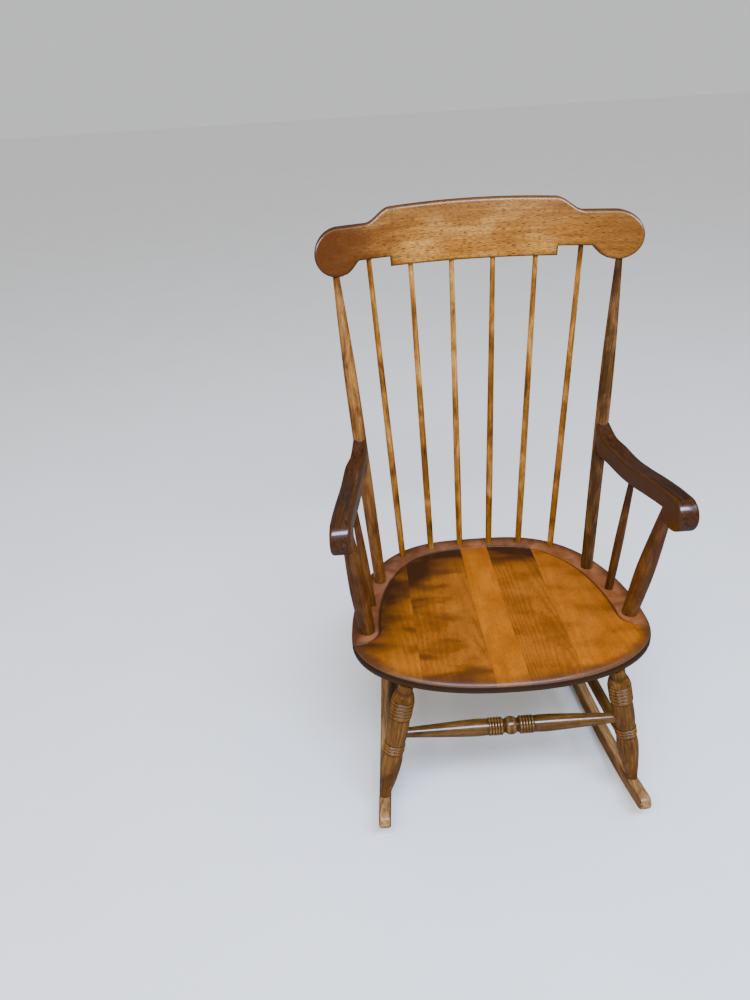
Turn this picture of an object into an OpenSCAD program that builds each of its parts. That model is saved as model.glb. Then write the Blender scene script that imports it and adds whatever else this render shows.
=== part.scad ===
// Spindle-back rocking chair: carved plank seat, turned legs and back, bent crest rail.
// Millimetres, +Z up, the chair faces -Y. The origin is on the floor, midway along the rockers.
// Everything above the rockers is laid out on the seat deck, which tips back by deck_tilt.

/* [Stance] */
// Height of the seat deck above the floor, at the back posts
deck_h = 326; // [270:1:400]
// Backward tip of the seat deck, in degrees
deck_tilt = 2.5; // [0:0.5:5]

/* [Seat] */
// Widest breadth of the seat
seat_w = 557; // [460:1:640]
// Seat depth in front of the back posts
seat_front = 341; // [290:1:390]
// Seat depth behind the back posts
seat_rear = 152; // [120:1:180]
// How far in front of the back posts the seat is widest
seat_waist = 175; // [150:1:200]
// How square the seat's front corners are, where 2 gives an ellipse
front_square = 2.25; // [2:0.05:2.8]
// Thickness of the seat plank
seat_t = 37; // [30:1:45]
// Depth of the square edge around the seat, above the bevel on its underside
seat_edge_t = 21; // [14:1:26]
// How far the bevel on the underside runs in from the edge
seat_bevel = 24; // [10:1:34]
// Depth of the carved hollow at its lowest point
dish_depth = 7; // [3:1:11]
// Breadth of the carved hollow
dish_w = 400; // [320:1:420]
// How far behind the seat's widest line the hollow is deepest
dish_set_back = 40; // [20:1:60]
// Width of the raised spindle deck behind the spindles, from the rim to its carved groove
band_rear_w = 43; // [38:1:50]
// Width of the raised spindle deck beside the arm posts
band_side_w = 52; // [46:1:60]
// Width of the carved groove
groove_w = 4; // [3:0.5:6]
// Depth of the carved groove
groove_d = 2; // [1:0.5:4]
// Radius with which the groove turns out to the side edges
groove_corner_r = 36; // [28:1:44]
// How far in front of the arm posts the groove reaches the side edges
groove_end = 36; // [28:1:44]
// Place of the first glue line from the left, measured from the seat's middle
seam_1 = -158; // [-190:1:-110]
// Place of the second glue line
seam_2 = -34; // [-80:1:-10]
// Place of the third glue line
seam_3 = 24; // [0:1:70]
// Place of the fourth glue line
seam_4 = 118; // [90:1:190]

/* [Rockers] */
// Length of a rocker over its ends
rocker_l = 758; // [640:1:840]
// Thickness of a rocker
rocker_t = 22; // [17:1:28]
// Height of a rocker
rocker_h = 29; // [24:1:38]
// Radius of the curve that a rocker rolls on
rocker_r = 1380; // [1100:10:1700]
// Distance in front of the origin at which the rockers touch the floor when the chair is at rest
rest_y = 61; // [30:1:90]
// Distance between the middles of the two rockers, at the origin
rocker_gap = 437; // [380:1:500]
// Angle by which each rocker turns in towards the rear, in degrees
rocker_toe = 3.3; // [0:0.1:5]

/* [Legs] */
// Distance of the front legs in front of the back posts, at the seat
front_leg_y = 294; // [240:1:300]
// Distance of the front legs' tops inside the seat's widest line
front_leg_inset = 90.5; // [80:0.5:120]
// Distance in front of the origin at which the front legs stand on the rockers
front_foot_y = 312; // [250:1:330]
// Distance of the rear legs behind the back posts, at the seat
rear_leg_y = 64; // [30:1:80]
// Distance of the rear legs' tops inside the seat's widest line
rear_leg_inset = 135.5; // [110:0.5:160]
// Distance behind the origin at which the rear legs stand on the rockers
rear_foot_y = 132; // [80:1:180]
// Diameter of a leg over its rings
leg_d = 42; // [38:1:52]
// Distance of the upper rings below the seat, along the leg
leg_ring_start = 21.5; // [16:0.5:26]
// Spacing of the five upper rings
leg_ring_pitch = 7.4; // [6:0.1:8.4]
// Distance of the lower rings below the seat, along the leg
low_ring_start = 121; // [116:1:130]
// Spacing of the three lower rings
low_ring_pitch = 6.4; // [5:0.1:7.4]
// Diameter of a leg where it enters the seat
leg_neck_d = 27; // [24:1:32]
// Diameter of a leg where it meets the rocker
leg_foot_d = 19; // [17:1:20]
// Diameter of the tenons at the top of the legs
leg_tenon_d = 24; // [18:1:24]
// Diameter of the tenons at the foot of the legs
foot_tenon_d = 13; // [10:1:14]
// Depth of the leg sockets in the seat
leg_socket = 24; // [18:1:28]
// Depth of the leg sockets in the rockers
foot_socket = 18; // [12:1:22]

/* [Stretchers] */
// Distance of the front stretcher below the seat, along the leg
front_stretcher_drop = 102; // [90:1:116]
// Distance of the side stretchers below the seat, along the leg
side_stretcher_drop = 172; // [160:1:190]
// Largest diameter of the front stretcher
front_stretcher_d = 33; // [26:1:38]
// Diameter of the front stretcher beside its middle bead
front_neck_d = 23; // [20:1:26]
// Width of the bead at the middle of the front stretcher
bead_w = 20; // [14:1:26]
// Width of the cove at each side of that bead
cove_w = 5; // [3:0.5:8]
// Spacing of the five rings beyond each cove
front_ring_pitch = 5.2; // [4:0.1:6]
// Largest diameter of the side and rear stretchers
side_stretcher_d = 22; // [18:1:28]
// Distance of the scored lines from the middle of the side and rear stretchers
score_at = 64; // [40:1:90]
// Depth of the scored lines
score_depth = 0.8; // [0.4:0.1:1.2]
// Diameter of the tenons on the stretchers
stretcher_tenon_d = 14; // [10:1:15]
// Depth of the stretcher sockets in the legs
stretcher_socket = 13; // [9:1:14]

/* [Back] */
// Distance of the back posts' feet inside the seat's widest line
post_inset = 62.5; // [56:0.5:80]
// Largest diameter of a back post
post_d = 26; // [20:1:30]
// Diameter of a back post where it enters the crest
post_tip_d = 12.5; // [11:0.5:16]
// Diameter of a back post's tenon in the seat
post_tenon_d = 18; // [14:1:18]
// Diameter of a back post's tenon in the crest
post_tip_tenon_d = 10; // [8:0.5:10.5]
// Spacing of the six spindles at the seat
spindle_pitch = 65; // [56:0.5:70]
// Spacing of the six spindles at the crest
spindle_top_pitch = 79.4; // [70:0.1:82]
// Distance of the spindles' feet inside the seat's rear rim
spindle_inset = 24; // [21:1:30]
// Largest diameter of a spindle
spindle_d = 14; // [11:0.5:16]
// Diameter of a spindle where it enters the crest
spindle_tip_d = 9.4; // [8:0.2:11]
// Diameter of a spindle's tenon in the seat
spindle_tenon_d = 11; // [8:0.5:11]
// Diameter of a spindle's tenon in the crest
spindle_tip_tenon_d = 7.5; // [6:0.5:7.5]
// Depth of the post and spindle sockets in the seat
back_socket = 24; // [16:1:28]

/* [Crest rail] */
// Height of the crest's lower edge above the seat deck
crest_z = 610; // [520:1:720]
// Distance of the crest behind the back posts, at its middle
crest_back = 164; // [120:1:200]
// Breadth of the crest over its ears
crest_w = 592; // [560:1:650]
// Height of the crest at its middle
crest_h = 107; // [90:1:130]
// Thickness of the crest
crest_t = 21; // [18:1:26]
// Radius of the crest's backward bend
crest_r = 520; // [440:10:700]
// Backward lean of the crest, measured from the seat deck's upright, in degrees
crest_lean = 9.4; // [5:0.2:13]
// Diameter of the round ears
ear_d = 85; // [80:1:100]
// How far the ears hang below the crest's lower edge
ear_drop = 6; // [0:1:12]
// How far the crest's top edge falls from its middle to the shoulders
crown = 4; // [0:1:8]
// Distance of each shoulder of the top edge from the middle
shoulder_x = 154; // [140:1:160]
// Distance from the middle at which the top edge meets an ear's level
shoulder_foot_x = 203; // [190:1:215]
// Distance from the middle at which the lower edge starts its sweep down to an ear
notch_x = 217; // [205:1:222]
// Breadth of the straight lower edge between its steps
crest_step_w = 314; // [300:1:320]
// Height of the steps in the lower edge
crest_step_h = 17; // [10:1:22]
// Distance between the crest's sockets for the back posts
post_top_gap = 521; // [505:1:530]
// Depth of the sockets in the crest
crest_socket = 26; // [18:1:30]

/* [Arms] */
// Height of an arm's top above the seat deck, where it dips lowest
arm_h = 272; // [230:1:310]
// Thickness of an arm from top to underside, where it dips lowest
arm_t = 36; // [32:1:44]
// How far the arm posts stand inside the middle of the arms, where they meet them
arm_post_inset = 4; // [0:1:8]
// Width of an arm along its front half
arm_w = 35; // [30:1:42]
// Width of an arm where it meets the back post
arm_rear_w = 21; // [18:1:24]
// Distance of the scroll's middle in front of the back posts
scroll_y = 257; // [230:1:290]
// Diameter of the scroll at an arm's front end
scroll_d = 60; // [50:1:66]
// How far the scroll's top stands above the arm's lowest part
scroll_rise = 15; // [10:1:20]
// How far the arm's top rises to where it meets the back post
arm_rear_rise = 36; // [26:1:44]
// Distance between the middles of the arms, at the scrolls
arm_gap = 555; // [520:1:620]
// Angle by which each arm turns in towards the rear, in degrees
arm_slope = 6; // [3:0.5:8]
// Distance of the arm posts in front of the back posts, at the seat
arm_post_y = 169; // [150:1:200]
// Distance of the arm posts' feet inside the seat's widest line
arm_post_foot_inset = 30.5; // [28:0.5:50]
// Largest diameter of an arm post
arm_post_d = 33; // [28:1:36]
// Diameter of an arm post's tenon in the seat
arm_post_tenon_d = 18; // [14:1:20]
// Diameter of an arm post's tenon in the arm
arm_post_tip_tenon_d = 12; // [9:1:13]
// Distance of the arm spindles in front of the back posts, at the seat
arm_spindle_y = 84; // [70:1:100]
// Distance of the arm spindles' feet inside the seat's widest line
arm_spindle_inset = 42.5; // [38:0.5:60]
// Largest diameter of an arm spindle
arm_spindle_d = 17; // [13:1:20]
// Diameter of an arm spindle's tenon in the seat
arm_spindle_tenon_d = 12; // [9:1:12]
// Diameter of an arm spindle's tenon in the arm
arm_spindle_tip_tenon_d = 9; // [7:1:9]
// Depth of the sockets in the underside of the arms
arm_socket = 20; // [14:1:24]

/* [Fastenings] */
// Clearance for glue around a tenon
glue = 0.1; // [0.05:0.05:0.3]
// Diameter of the pins through the tenons
pin_d = 2.5; // [2:0.5:3]
// Shank diameter of the arm screws
screw_d = 4; // [3:0.5:5]
// Length of the arm screws
screw_l = 54; // [40:1:58]
// Diameter of the arm screws' heads
screw_head_d = 7.5; // [6.5:0.5:8]
// Height of the arm screws' heads
screw_head_h = 3; // [2:0.5:4]
// Diameter of the wooden plugs over the arm screws
plug_d = 9; // [8:0.5:11]
// Depth of the plugs over the screws' heads
plug_depth = 6; // [4:0.5:8]

/* [Hidden] */
$fn = 64;
LEFT = -1;
RIGHT = 1;
amber = "#a8682c";
dark_brown = "#4c2a1e";
golden_brown = "#8f5a30";
olive_brown = "#7c4a20";
worn_tan = "#b07a48";
steel = "#9a9a98";

// ---- vectors and curves ----

function mix(a, b, t) = a + (b - a) * t;
function mirrored(p, side) = [side * p[0], p[1], p[2]];
function unit(v) = v / norm(v);

// A smooth step that leaves and arrives level.
function ease(t) = (1 - cos(180 * max(0, min(1, t)))) / 2;

// A point given in seat-deck coordinates, placed in the chair's own frame.
function on_deck(p) = [
    p[0],
    p[1] * cos(deck_tilt) + p[2] * sin(deck_tilt),
    p[2] * cos(deck_tilt) - p[1] * sin(deck_tilt) + deck_h
];

// The smooth curve through stations [x, y], as steps + 1 points for each span (Catmull-Rom).
function curve_point(s, i, t) =
    let (
        n = len(s) - 1,
        a = s[max(0, i - 1)],
        b = s[i],
        c = s[i + 1],
        d = s[min(n, i + 2)]
    )
    0.5 * (2 * b + (c - a) * t + (2 * a - 5 * b + 4 * c - d) * t * t
        + (3 * b - a - 3 * c + d) * t * t * t);
function smooth(s, steps = 6) = concat(
    [for (i = [0 : len(s) - 2], k = [0 : steps - 1]) curve_point(s, i, k / steps)],
    [s[len(s) - 1]]
);

// Half-round rings along a turning: first ring's start, pitch, how many, ring and valley diameters.
function rings(start, pitch, count, ring_d, valley_d) = [
    for (i = [0 : count - 1], a = [0 : 30 : 150])
        [start + pitch * (i + (1 - cos(a)) / 2), valley_d + (ring_d - valley_d) * sin(a)]
];

// ---- placing pieces ----

// Puts children made along +Z on the line from a to b.
module along(a, b) {
    v = b - a;
    translate(a)
        rotate([0, acos(v[2] / norm(v)), atan2(v[1], v[0])])
            children();
}

module deck_frame() {
    translate([0, 0, deck_h])
        rotate([-deck_tilt, 0, 0])
            children();
}

module for_side(side) {
    if (side == LEFT)
        mirror([1, 0, 0])
            children();
    else
        children();
}

// A solid turning: a list of [distance along the axis, diameter].
module turning(profile) {
    n = len(profile) - 1;
    rotate_extrude()
        polygon(concat(
            [[0, profile[0][0]]],
            [for (p = profile) [p[1] / 2, p[0]]],
            [[0, profile[n][0]]]
        ));
}

// A tenon from a to b, and the socket that it is glued into.
module tenon(a, b, d) {
    along(a, b)
        cylinder(d = d, h = norm(b - a));
}

module socket(mouth, bottom, d, rise = 30) {
    start = mouth - unit(bottom - mouth) * rise;
    along(start, bottom)
        cylinder(d = d + 2 * glue, h = norm(bottom - start) + glue);
}

// The round seat, bored from outside down to a socket's mouth, that takes a shoulder.
module shoulder_seat(mouth, bottom, d) {
    along(mouth, mouth - unit(bottom - mouth))
        cylinder(d = d + 2 * glue, h = leg_d);
}

// ---- rockers ----

rocker_x = rocker_gap / 2;
half_w = seat_w / 2;

// Height of an arc of radius r about the rolling curve's middle, at a distance y.
function arc_height(r, y) = rocker_r - sqrt(r * r - (y + rest_y) * (y + rest_y));
function rocker_mid_x(y) = rocker_x - y * tan(rocker_toe);
function rocker_top(y) = arc_height(rocker_r - rocker_h, (y + rest_y) / cos(rocker_toe) - rest_y);

// Side outline of one rocker, with y along its length and z as height.
module rocker_outline() {
    half = (rocker_l - rocker_h) / 2;
    far = 1.2 * half;
    intersection() {
        translate([-rest_y, rocker_r])
            difference() {
                circle(r = rocker_r, $fn = 720);
                circle(r = rocker_r - rocker_h, $fn = 720);
            }
        polygon([
            [-rest_y, rocker_r],
            [-far, arc_height(rocker_r, -far)],
            [-far, -rocker_h],
            [far, -rocker_h],
            [far, arc_height(rocker_r, far)]
        ]);
        translate([-half, -rocker_h])
            square([2 * half, rocker_r]);
    }
    for (y = [-half, half])
        translate([y, arc_height(rocker_r - rocker_h / 2, y)])
            circle(d = rocker_h);
}

module rocker_blank() {
    translate([rocker_x, 0, 0])
        rotate([0, 0, rocker_toe])
            rotate([90, 0, 90])
                translate([0, 0, -rocker_t / 2])
                    linear_extrude(rocker_t)
                        rocker_outline();
}

module rocker(side) {
    color(worn_tan)
        for_side(side)
            difference() {
                rocker_blank();
                for (leg = [front_leg(), rear_leg()])
                    socket(leg[1], leg_end(leg, foot_socket), foot_tenon_d);
                rocker_pin_holes();
            }
}

// ---- legs: [top on the seat's underside, foot on the rocker], right-hand side ----

function front_leg() = [
    on_deck([half_w - front_leg_inset, -front_leg_y, -seat_t]),
    [rocker_mid_x(-front_foot_y), -front_foot_y, rocker_top(-front_foot_y)]
];
function rear_leg() = [
    on_deck([half_w - rear_leg_inset, rear_leg_y, -seat_t]),
    [rocker_mid_x(rear_foot_y), rear_foot_y, rocker_top(rear_foot_y)]
];
function leg_length(leg) = norm(leg[1] - leg[0]);
function leg_dir(leg) = unit(leg[1] - leg[0]);
// The point on a leg's axis that is so far past its top, and past its foot.
function leg_at(leg, s) = leg[0] + leg_dir(leg) * s;
function leg_end(leg, s) = leg[1] + leg_dir(leg) * s;

// Turned profile of a leg, from the seat down to the rocker: neck, rings, barrel, rings, long taper.
function leg_profile(l) =
    let (
        barrel = leg_ring_start + 5 * leg_ring_pitch + 0.5,
        taper = low_ring_start + 3 * low_ring_pitch + 0.8,
        swell = taper + 27
    )
    concat(
        smooth([
            [-leg_over(), leg_neck_d],
            [leg_ring_start * 0.14, leg_neck_d + 1],
            [leg_ring_start * 0.51, leg_d * 0.84],
            [leg_ring_start - 1.5, leg_d * 0.96]
        ], 4),
        rings(leg_ring_start, leg_ring_pitch, 5, leg_d, leg_d * 0.87),
        smooth([
            [barrel, leg_d * 0.87],
            [barrel + 5, leg_d * 0.91],
            [mix(barrel, low_ring_start, 0.58), leg_d * 0.94],
            [low_ring_start - 2, leg_d * 0.87]
        ], 4),
        rings(low_ring_start, low_ring_pitch, 3, leg_d * 0.94, leg_d * 0.82),
        smooth([
            [taper, leg_d * 0.82],
            [taper + 7, leg_d * 0.88],
            [swell, leg_d * 0.93],
            [mix(swell, l, 0.42), leg_d * 0.78],
            [mix(swell, l, 0.8), leg_foot_d + 4],
            [l - 2, leg_foot_d]
        ], 4),
        [[l + foot_over(), leg_foot_d]]
    );
// The turned part runs on this far past its nominal ends, and is trimmed flush to its neighbours.
function leg_over() = leg_neck_d / 2;
function foot_over() = leg_foot_d / 4;

module leg(leg, stretcher_ends) {
    difference() {
        union() {
            difference() {
                along(leg[0], leg[1])
                    turning(leg_profile(leg_length(leg)));
                plank_zone();
                rocker_cut();
            }
            tenon(leg_at(leg, 1), leg_at(leg, -leg_socket), leg_tenon_d);
            tenon(leg_end(leg, -1), leg_end(leg, foot_socket), foot_tenon_d);
        }
        for (s = stretcher_ends) {
            socket(s[0], s[1], stretcher_tenon_d);
            shoulder_seat(s[0], s[1], s[2]);
        }
        rocker_pin_holes();
    }
}

// Everything between the deck's surface and the seat's underside.
module plank_zone() {
    deck_frame()
        translate([-seat_w, -seat_w, -seat_t])
            cube([2 * seat_w, 2 * seat_w, seat_t]);
}

// The rocker with its curved top carried on past its sides, to trim the legs' feet.
module rocker_cut() {
    translate([rocker_x, 0, 0])
        rotate([0, 0, rocker_toe])
            translate([-2 * rocker_t, -rest_y, rocker_r])
                rotate([0, 90, 0])
                    difference() {
                        cylinder(r = rocker_r + rocker_h, h = 4 * rocker_t, $fn = 720);
                        translate([0, 0, -1])
                            cylinder(r = rocker_r - rocker_h, h = 4 * rocker_t + 2, $fn = 720);
                    }
}

module front_leg_right_shape() {
    leg(front_leg(), [front_stretcher_end(), side_stretcher_front()]);
}

module rear_leg_right_shape() {
    leg(rear_leg(), [rear_stretcher_end(), side_stretcher_rear()]);
}

module turned_leg(which, side) {
    color(golden_brown)
        for_side(side)
            if (which == "front")
                front_leg_right_shape();
            else
                rear_leg_right_shape();
}

// ---- stretchers: each end is [its shoulder, the bottom of its socket, shoulder diameter] ----

function end_on(leg, drop, toward, shoulder_d) =
    let (axis = leg_at(leg, drop), v = unit(toward - axis))
    [axis + v * stretcher_mouth(), axis + v * (stretcher_mouth() - stretcher_socket), shoulder_d];
// The shoulder stands this far from a leg's axis.
function stretcher_mouth() = leg_d * 0.41;
ringed_shoulder_d = stretcher_tenon_d + 4;
plain_shoulder_d = stretcher_tenon_d + 2;

function front_stretcher_end() =
    let (a = leg_at(front_leg(), front_stretcher_drop))
    end_on(front_leg(), front_stretcher_drop, mirrored(a, LEFT), ringed_shoulder_d);
function rear_stretcher_end() =
    let (a = leg_at(rear_leg(), front_stretcher_drop))
    end_on(rear_leg(), front_stretcher_drop, mirrored(a, LEFT), plain_shoulder_d);
function side_stretcher_front() =
    end_on(front_leg(), side_stretcher_drop, leg_at(rear_leg(), side_stretcher_drop), plain_shoulder_d);
function side_stretcher_rear() =
    end_on(rear_leg(), side_stretcher_drop, leg_at(front_leg(), side_stretcher_drop), plain_shoulder_d);

// Half of the front stretcher, from its middle bead out to the shoulder at l.
function front_stretcher_half(l) =
    let (first_ring = bead_w / 2 + cove_w, swell = front_stretcher_d - front_neck_d)
    concat(
        [for (a = [0 : 15 : 90]) [bead_w / 2 * sin(a), front_neck_d + swell * cos(a)]],
        rings(first_ring, front_ring_pitch, 5, front_stretcher_d, front_stretcher_d * 0.86),
        smooth([
            [first_ring + 5 * front_ring_pitch + 1, front_stretcher_d * 0.9],
            [l * 0.36, front_stretcher_d * 0.94],
            [l * 0.7, front_stretcher_d * 0.74],
            [l, ringed_shoulder_d]
        ], 5)
    );
// A plain stretcher with a scored line at each side of its middle.
function plain_stretcher_half(l) =
    let (scored_d = side_stretcher_d - 0.4)
    [
        [0, side_stretcher_d],
        [score_at, scored_d],
        [score_at + 1, scored_d - 2 * score_depth],
        [score_at + 2, scored_d],
        [mix(score_at, l, 0.5), scored_d - 1.1],
        [l, plain_shoulder_d]
    ];

function reversed(p) = [for (i = [len(p) - 1 : -1 : 1]) [-p[i][0], p[i][1]]];

// A stretcher between two ends, its half profile mirrored about the middle.
module stretcher(end_a, end_b, kind) {
    middle = (end_a[0] + end_b[0]) / 2;
    half_l = norm(end_b[0] - end_a[0]) / 2;
    half = kind == "ringed" ? front_stretcher_half(half_l) : plain_stretcher_half(half_l);
    along(middle, end_b[0])
        turning(concat(reversed(half), half));
    tenon(middle, end_a[1], stretcher_tenon_d);
    tenon(middle, end_b[1], stretcher_tenon_d);
}

module cross_stretcher(end, kind) {
    color(olive_brown)
        stretcher([mirrored(end[0], LEFT), mirrored(end[1], LEFT)], end, kind);
}

module side_stretcher(side) {
    color(olive_brown)
        for_side(side)
            stretcher(side_stretcher_front(), side_stretcher_rear(), "plain");
}

// ---- seat ----

// Half-breadth of the seat at a share t of the way round a quarter of its outline.
function rear_rim(w, reach, t) = [w * pow(sin(90 * t), 2 / 3), reach * cos(90 * t)];
function front_rim(w, reach, t) =
    [w * pow(cos(90 * t), 2 / front_square), -reach * pow(sin(90 * t), 2 / front_square)];
rim_steps = 24;

// Right half of the seat's outline, from the middle of the rear to the middle of the front.
function half_rim() = concat(
    [for (i = [0 : rim_steps]) rear_rim(half_w, seat_rear + seat_waist, i / rim_steps)],
    [for (i = [1 : rim_steps]) front_rim(half_w, seat_front - seat_waist, i / rim_steps)]
);
function flipped(p) = [for (i = [len(p) - 1 : -1 : 0]) [-p[i][0], p[i][1]]];

module seat_outline() {
    translate([0, -seat_waist])
        polygon(concat(half_rim(), flipped(half_rim())));
}

// The groove's line: inside the rear rim by band_w, then out to the side edges.
groove_end_y = -arm_post_y - groove_end;
function groove_line(inset) =
    let (
        w = half_w - band_side_w - inset,
        reach = seat_rear - band_rear_w - inset - groove_end_y - groove_corner_r
    )
    concat(
        [for (i = [0 : rim_steps]) rear_rim(w, reach, i / rim_steps)],
        [for (a = [0 : 15 : 90])
            [w + (groove_corner_r + inset) * (1 - cos(a)), -(groove_corner_r + inset) * sin(a)]]
    );

module groove_area(inset) {
    line = groove_line(inset);
    edge = half_w + 10;
    last = line[len(line) - 1];
    translate([0, groove_end_y + groove_corner_r])
        polygon(concat(
            line,
            [[edge, last[1]], [edge, -seat_front], [-edge, -seat_front], [-edge, last[1]]],
            flipped(line)
        ));
}

module groove_cut() {
    translate([0, 0, -groove_d])
        linear_extrude(groove_d + 1)
            difference() {
                groove_area(0);
                groove_area(groove_w);
            }
}

// A shallow ball-shaped hollow.
dish_r = (dish_w * dish_w / 4 + dish_depth * dish_depth) / (2 * dish_depth);
dish_y = -seat_waist + dish_set_back;

module seat_blank() {
    deck_frame()
        difference() {
            union() {
                translate([0, 0, -seat_edge_t])
                    linear_extrude(seat_edge_t)
                        seat_outline();
                bevelled_underside();
            }
            groove_cut();
            translate([0, dish_y, dish_r - dish_depth])
                sphere(r = dish_r, $fn = 360);
        }
}

// The lower part of the plank, tapering in by seat_bevel all round.
module bevelled_underside() {
    middle = (seat_rear - seat_front) / 2;
    depth = seat_rear + seat_front;
    translate([0, middle, -seat_edge_t])
        mirror([0, 0, 1])
            linear_extrude(seat_t - seat_edge_t, slices = 1,
                scale = [1 - 2 * seat_bevel / seat_w, 1 - 2 * seat_bevel / depth])
                translate([0, -middle])
                    seat_outline();
}

seam_edges = [-seat_w, seam_1, seam_2, seam_3, seam_4, seat_w];

module seat_board(i) {
    color(i == 3 ? worn_tan : amber)
        difference() {
            intersection() {
                seat_blank();
                translate([seam_edges[i - 1], -seat_w, 0])
                    cube([seam_edges[i] - seam_edges[i - 1], 2 * seat_w, 2 * deck_h]);
            }
            seat_sockets();
        }
}

module seat_sockets() {
    for (side = [LEFT, RIGHT])
        for_side(side) {
            for (leg = [front_leg(), rear_leg()])
                socket(leg[0], leg_at(leg, -leg_socket), leg_tenon_d);
            socket_in_seat(back_post(), post_tenon_d);
            socket_in_seat(arm_post(), arm_post_tenon_d);
            socket_in_seat(arm_spindle(), arm_spindle_tenon_d);
            for (i = [1 : 3])
                socket_in_seat(back_spindle(i), spindle_tenon_d);
        }
}

module socket_in_seat(piece, d) {
    socket(piece[0], past_foot(piece, back_socket), d);
}

// ---- back and arm turnings: [foot on the seat deck, top], right-hand side ----

function past_foot(piece, s) = piece[0] - unit(piece[1] - piece[0]) * s;
function past_top(piece, s) = piece[1] + unit(piece[1] - piece[0]) * s;

// The crest's middle surface, in seat-deck coordinates.
function crest_point(x, z) = [
    x,
    crest_back - crest_r + sqrt(crest_r * crest_r - x * x) + (z - crest_z) * tan(crest_lean),
    z
];

// The rear rim at a given distance from the middle, and the row of spindle feet inside it.
function rim_y(x) = -seat_waist + (seat_rear + seat_waist) * sqrt(1 - pow(x / half_w, 3));

ear_r = ear_d / 2;
ear_x = crest_w / 2 - ear_r;
ear_z = crest_z - ear_drop + ear_r;
ear_foot_z = ear_z - sqrt(ear_r * ear_r - (post_top_gap / 2 - ear_x) * (post_top_gap / 2 - ear_x));

post_x = half_w - post_inset;
function back_post() = [
    on_deck([post_x, 0, 0]),
    on_deck(crest_point(post_top_gap / 2, ear_foot_z))
];
function back_spindle(i) =
    let (
        x = spindle_pitch * (i - 0.5),
        x_top = spindle_top_pitch * (i - 0.5),
        z_top = x_top > crest_step_w / 2 ? crest_z + crest_step_h : crest_z
    )
    [on_deck([x, rim_y(x) - spindle_inset, 0]), on_deck(crest_point(x_top, z_top))];

// A back or arm turning: its body over its whole length, and a tenon at each end.
module upright(piece, profile, foot_tenon_d, tip_tenon_d, tip_depth) {
    difference() {
        along(piece[0], piece[1])
            turning(profile);
        children();
    }
    tenon(past_foot(piece, -2), past_foot(piece, back_socket), foot_tenon_d);
    tenon(past_top(piece, -2), past_top(piece, tip_depth), tip_tenon_d);
}

function post_profile(l) = smooth([
    [0, post_d * 0.92],
    [l * 0.12, post_d * 0.96],
    [l * 0.4, post_d],
    [l * 0.66, post_d * 0.97],
    [l * 0.84, post_d * 0.76],
    [l, post_tip_d]
], 5);
function spindle_profile(l) = smooth([
    [0, spindle_d * 0.94],
    [l * 0.25, spindle_d],
    [l * 0.6, spindle_d * 0.86],
    [l, spindle_tip_d]
], 5);

module back_post_shape(side) {
    piece = back_post();
    color(golden_brown)
        for_side(side)
            difference() {
                upright(piece, post_profile(norm(piece[1] - piece[0])),
                    post_tenon_d, post_tip_tenon_d, crest_socket) {
                    plank_zone();
                    crest_blank();
                }
                arm_screw_hole();
                crest_pin_holes();
            }
}

module back_spindle_shape(i, side) {
    piece = back_spindle(i);
    color(golden_brown)
        for_side(side)
            upright(piece, spindle_profile(norm(piece[1] - piece[0])),
                spindle_tenon_d, spindle_tip_tenon_d, crest_socket) {
                plank_zone();
                crest_blank();
            }
}

// ---- crest rail ----

function crest_half() =
    let (
        top = crest_z + crest_h,
        corner = top - crown,
        ear_top = ear_z + ear_r,
        step_z = crest_z + crest_step_h
    )
    concat(
        [[0, crest_z], [crest_step_w / 2, crest_z], [crest_step_w / 2, step_z]],
        [for (t = [0 : 0.125 : 1]) notch_curve(t, step_z)],
        [for (a = [-95 : 9 : 90]) [ear_x + ear_r * cos(a), ear_z + ear_r * sin(a)]],
        [for (t = [1 : -0.1 : 0])
            [mix(shoulder_x, shoulder_foot_x, t), mix(corner, ear_top, ease(t))]],
        [for (x = [shoulder_x * 0.75, shoulder_x * 0.5, shoulder_x * 0.25])
            [x, top - crown * x * x / (shoulder_x * shoulder_x)]],
        [[0, top]]
    );
// The lower edge between the step and the ear: a concave sweep down to the ear's underside.
function notch_curve(t, step_z) = [
    mix(notch_x, ear_x - ear_r * 0.2, t),
    mix(step_z, notch_ear_z(), sin(90 * t))
];
function notch_ear_z() = ear_z - ear_r * 0.96;

module crest_outline() {
    polygon(concat(crest_half(), flipped(crest_half())));
}

// The outline cut through a bent slab that leans back.
module crest_blank() {
    slab_h = crest_h * 2;
    deck_frame()
        intersection() {
            translate([0, crest_back + crest_r, 0])
                rotate([90, 0, 0])
                    linear_extrude(2 * crest_r)
                        crest_outline();
            translate([0, crest_back - crest_r, crest_z])
                rotate([-crest_lean, 0, 0])
                    translate([0, 0, -slab_h / 2])
                        linear_extrude(2 * slab_h)
                            difference() {
                                circle(r = crest_r + crest_t / 2, $fn = 360);
                                circle(r = crest_r - crest_t / 2, $fn = 360);
                                translate([-crest_r * 1.2, -crest_r * 2])
                                    square([crest_r * 2.4, crest_r * 2]);
                            }
        }
}

module crest_rail() {
    color(amber)
        difference() {
            crest_blank();
            for (side = [LEFT, RIGHT])
                for_side(side) {
                    post = back_post();
                    socket(post[1], past_top(post, crest_socket), post_tip_tenon_d);
                    for (i = [1 : 3]) {
                        s = back_spindle(i);
                        socket(s[1], past_top(s, crest_socket), spindle_tip_tenon_d);
                    }
                    crest_pin_holes();
                }
        }
}

// ---- arms ----

scroll_r = scroll_d / 2;
scroll_z = arm_h + scroll_rise - scroll_r;

// Line of the back post's axis, in seat-deck coordinates, at a height z.
function post_axis(z) =
    let (top = crest_point(post_top_gap / 2, ear_foot_z))
    mix([post_x, 0, 0], top, z / top[2]);
arm_back = post_axis(arm_h + 10);

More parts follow.
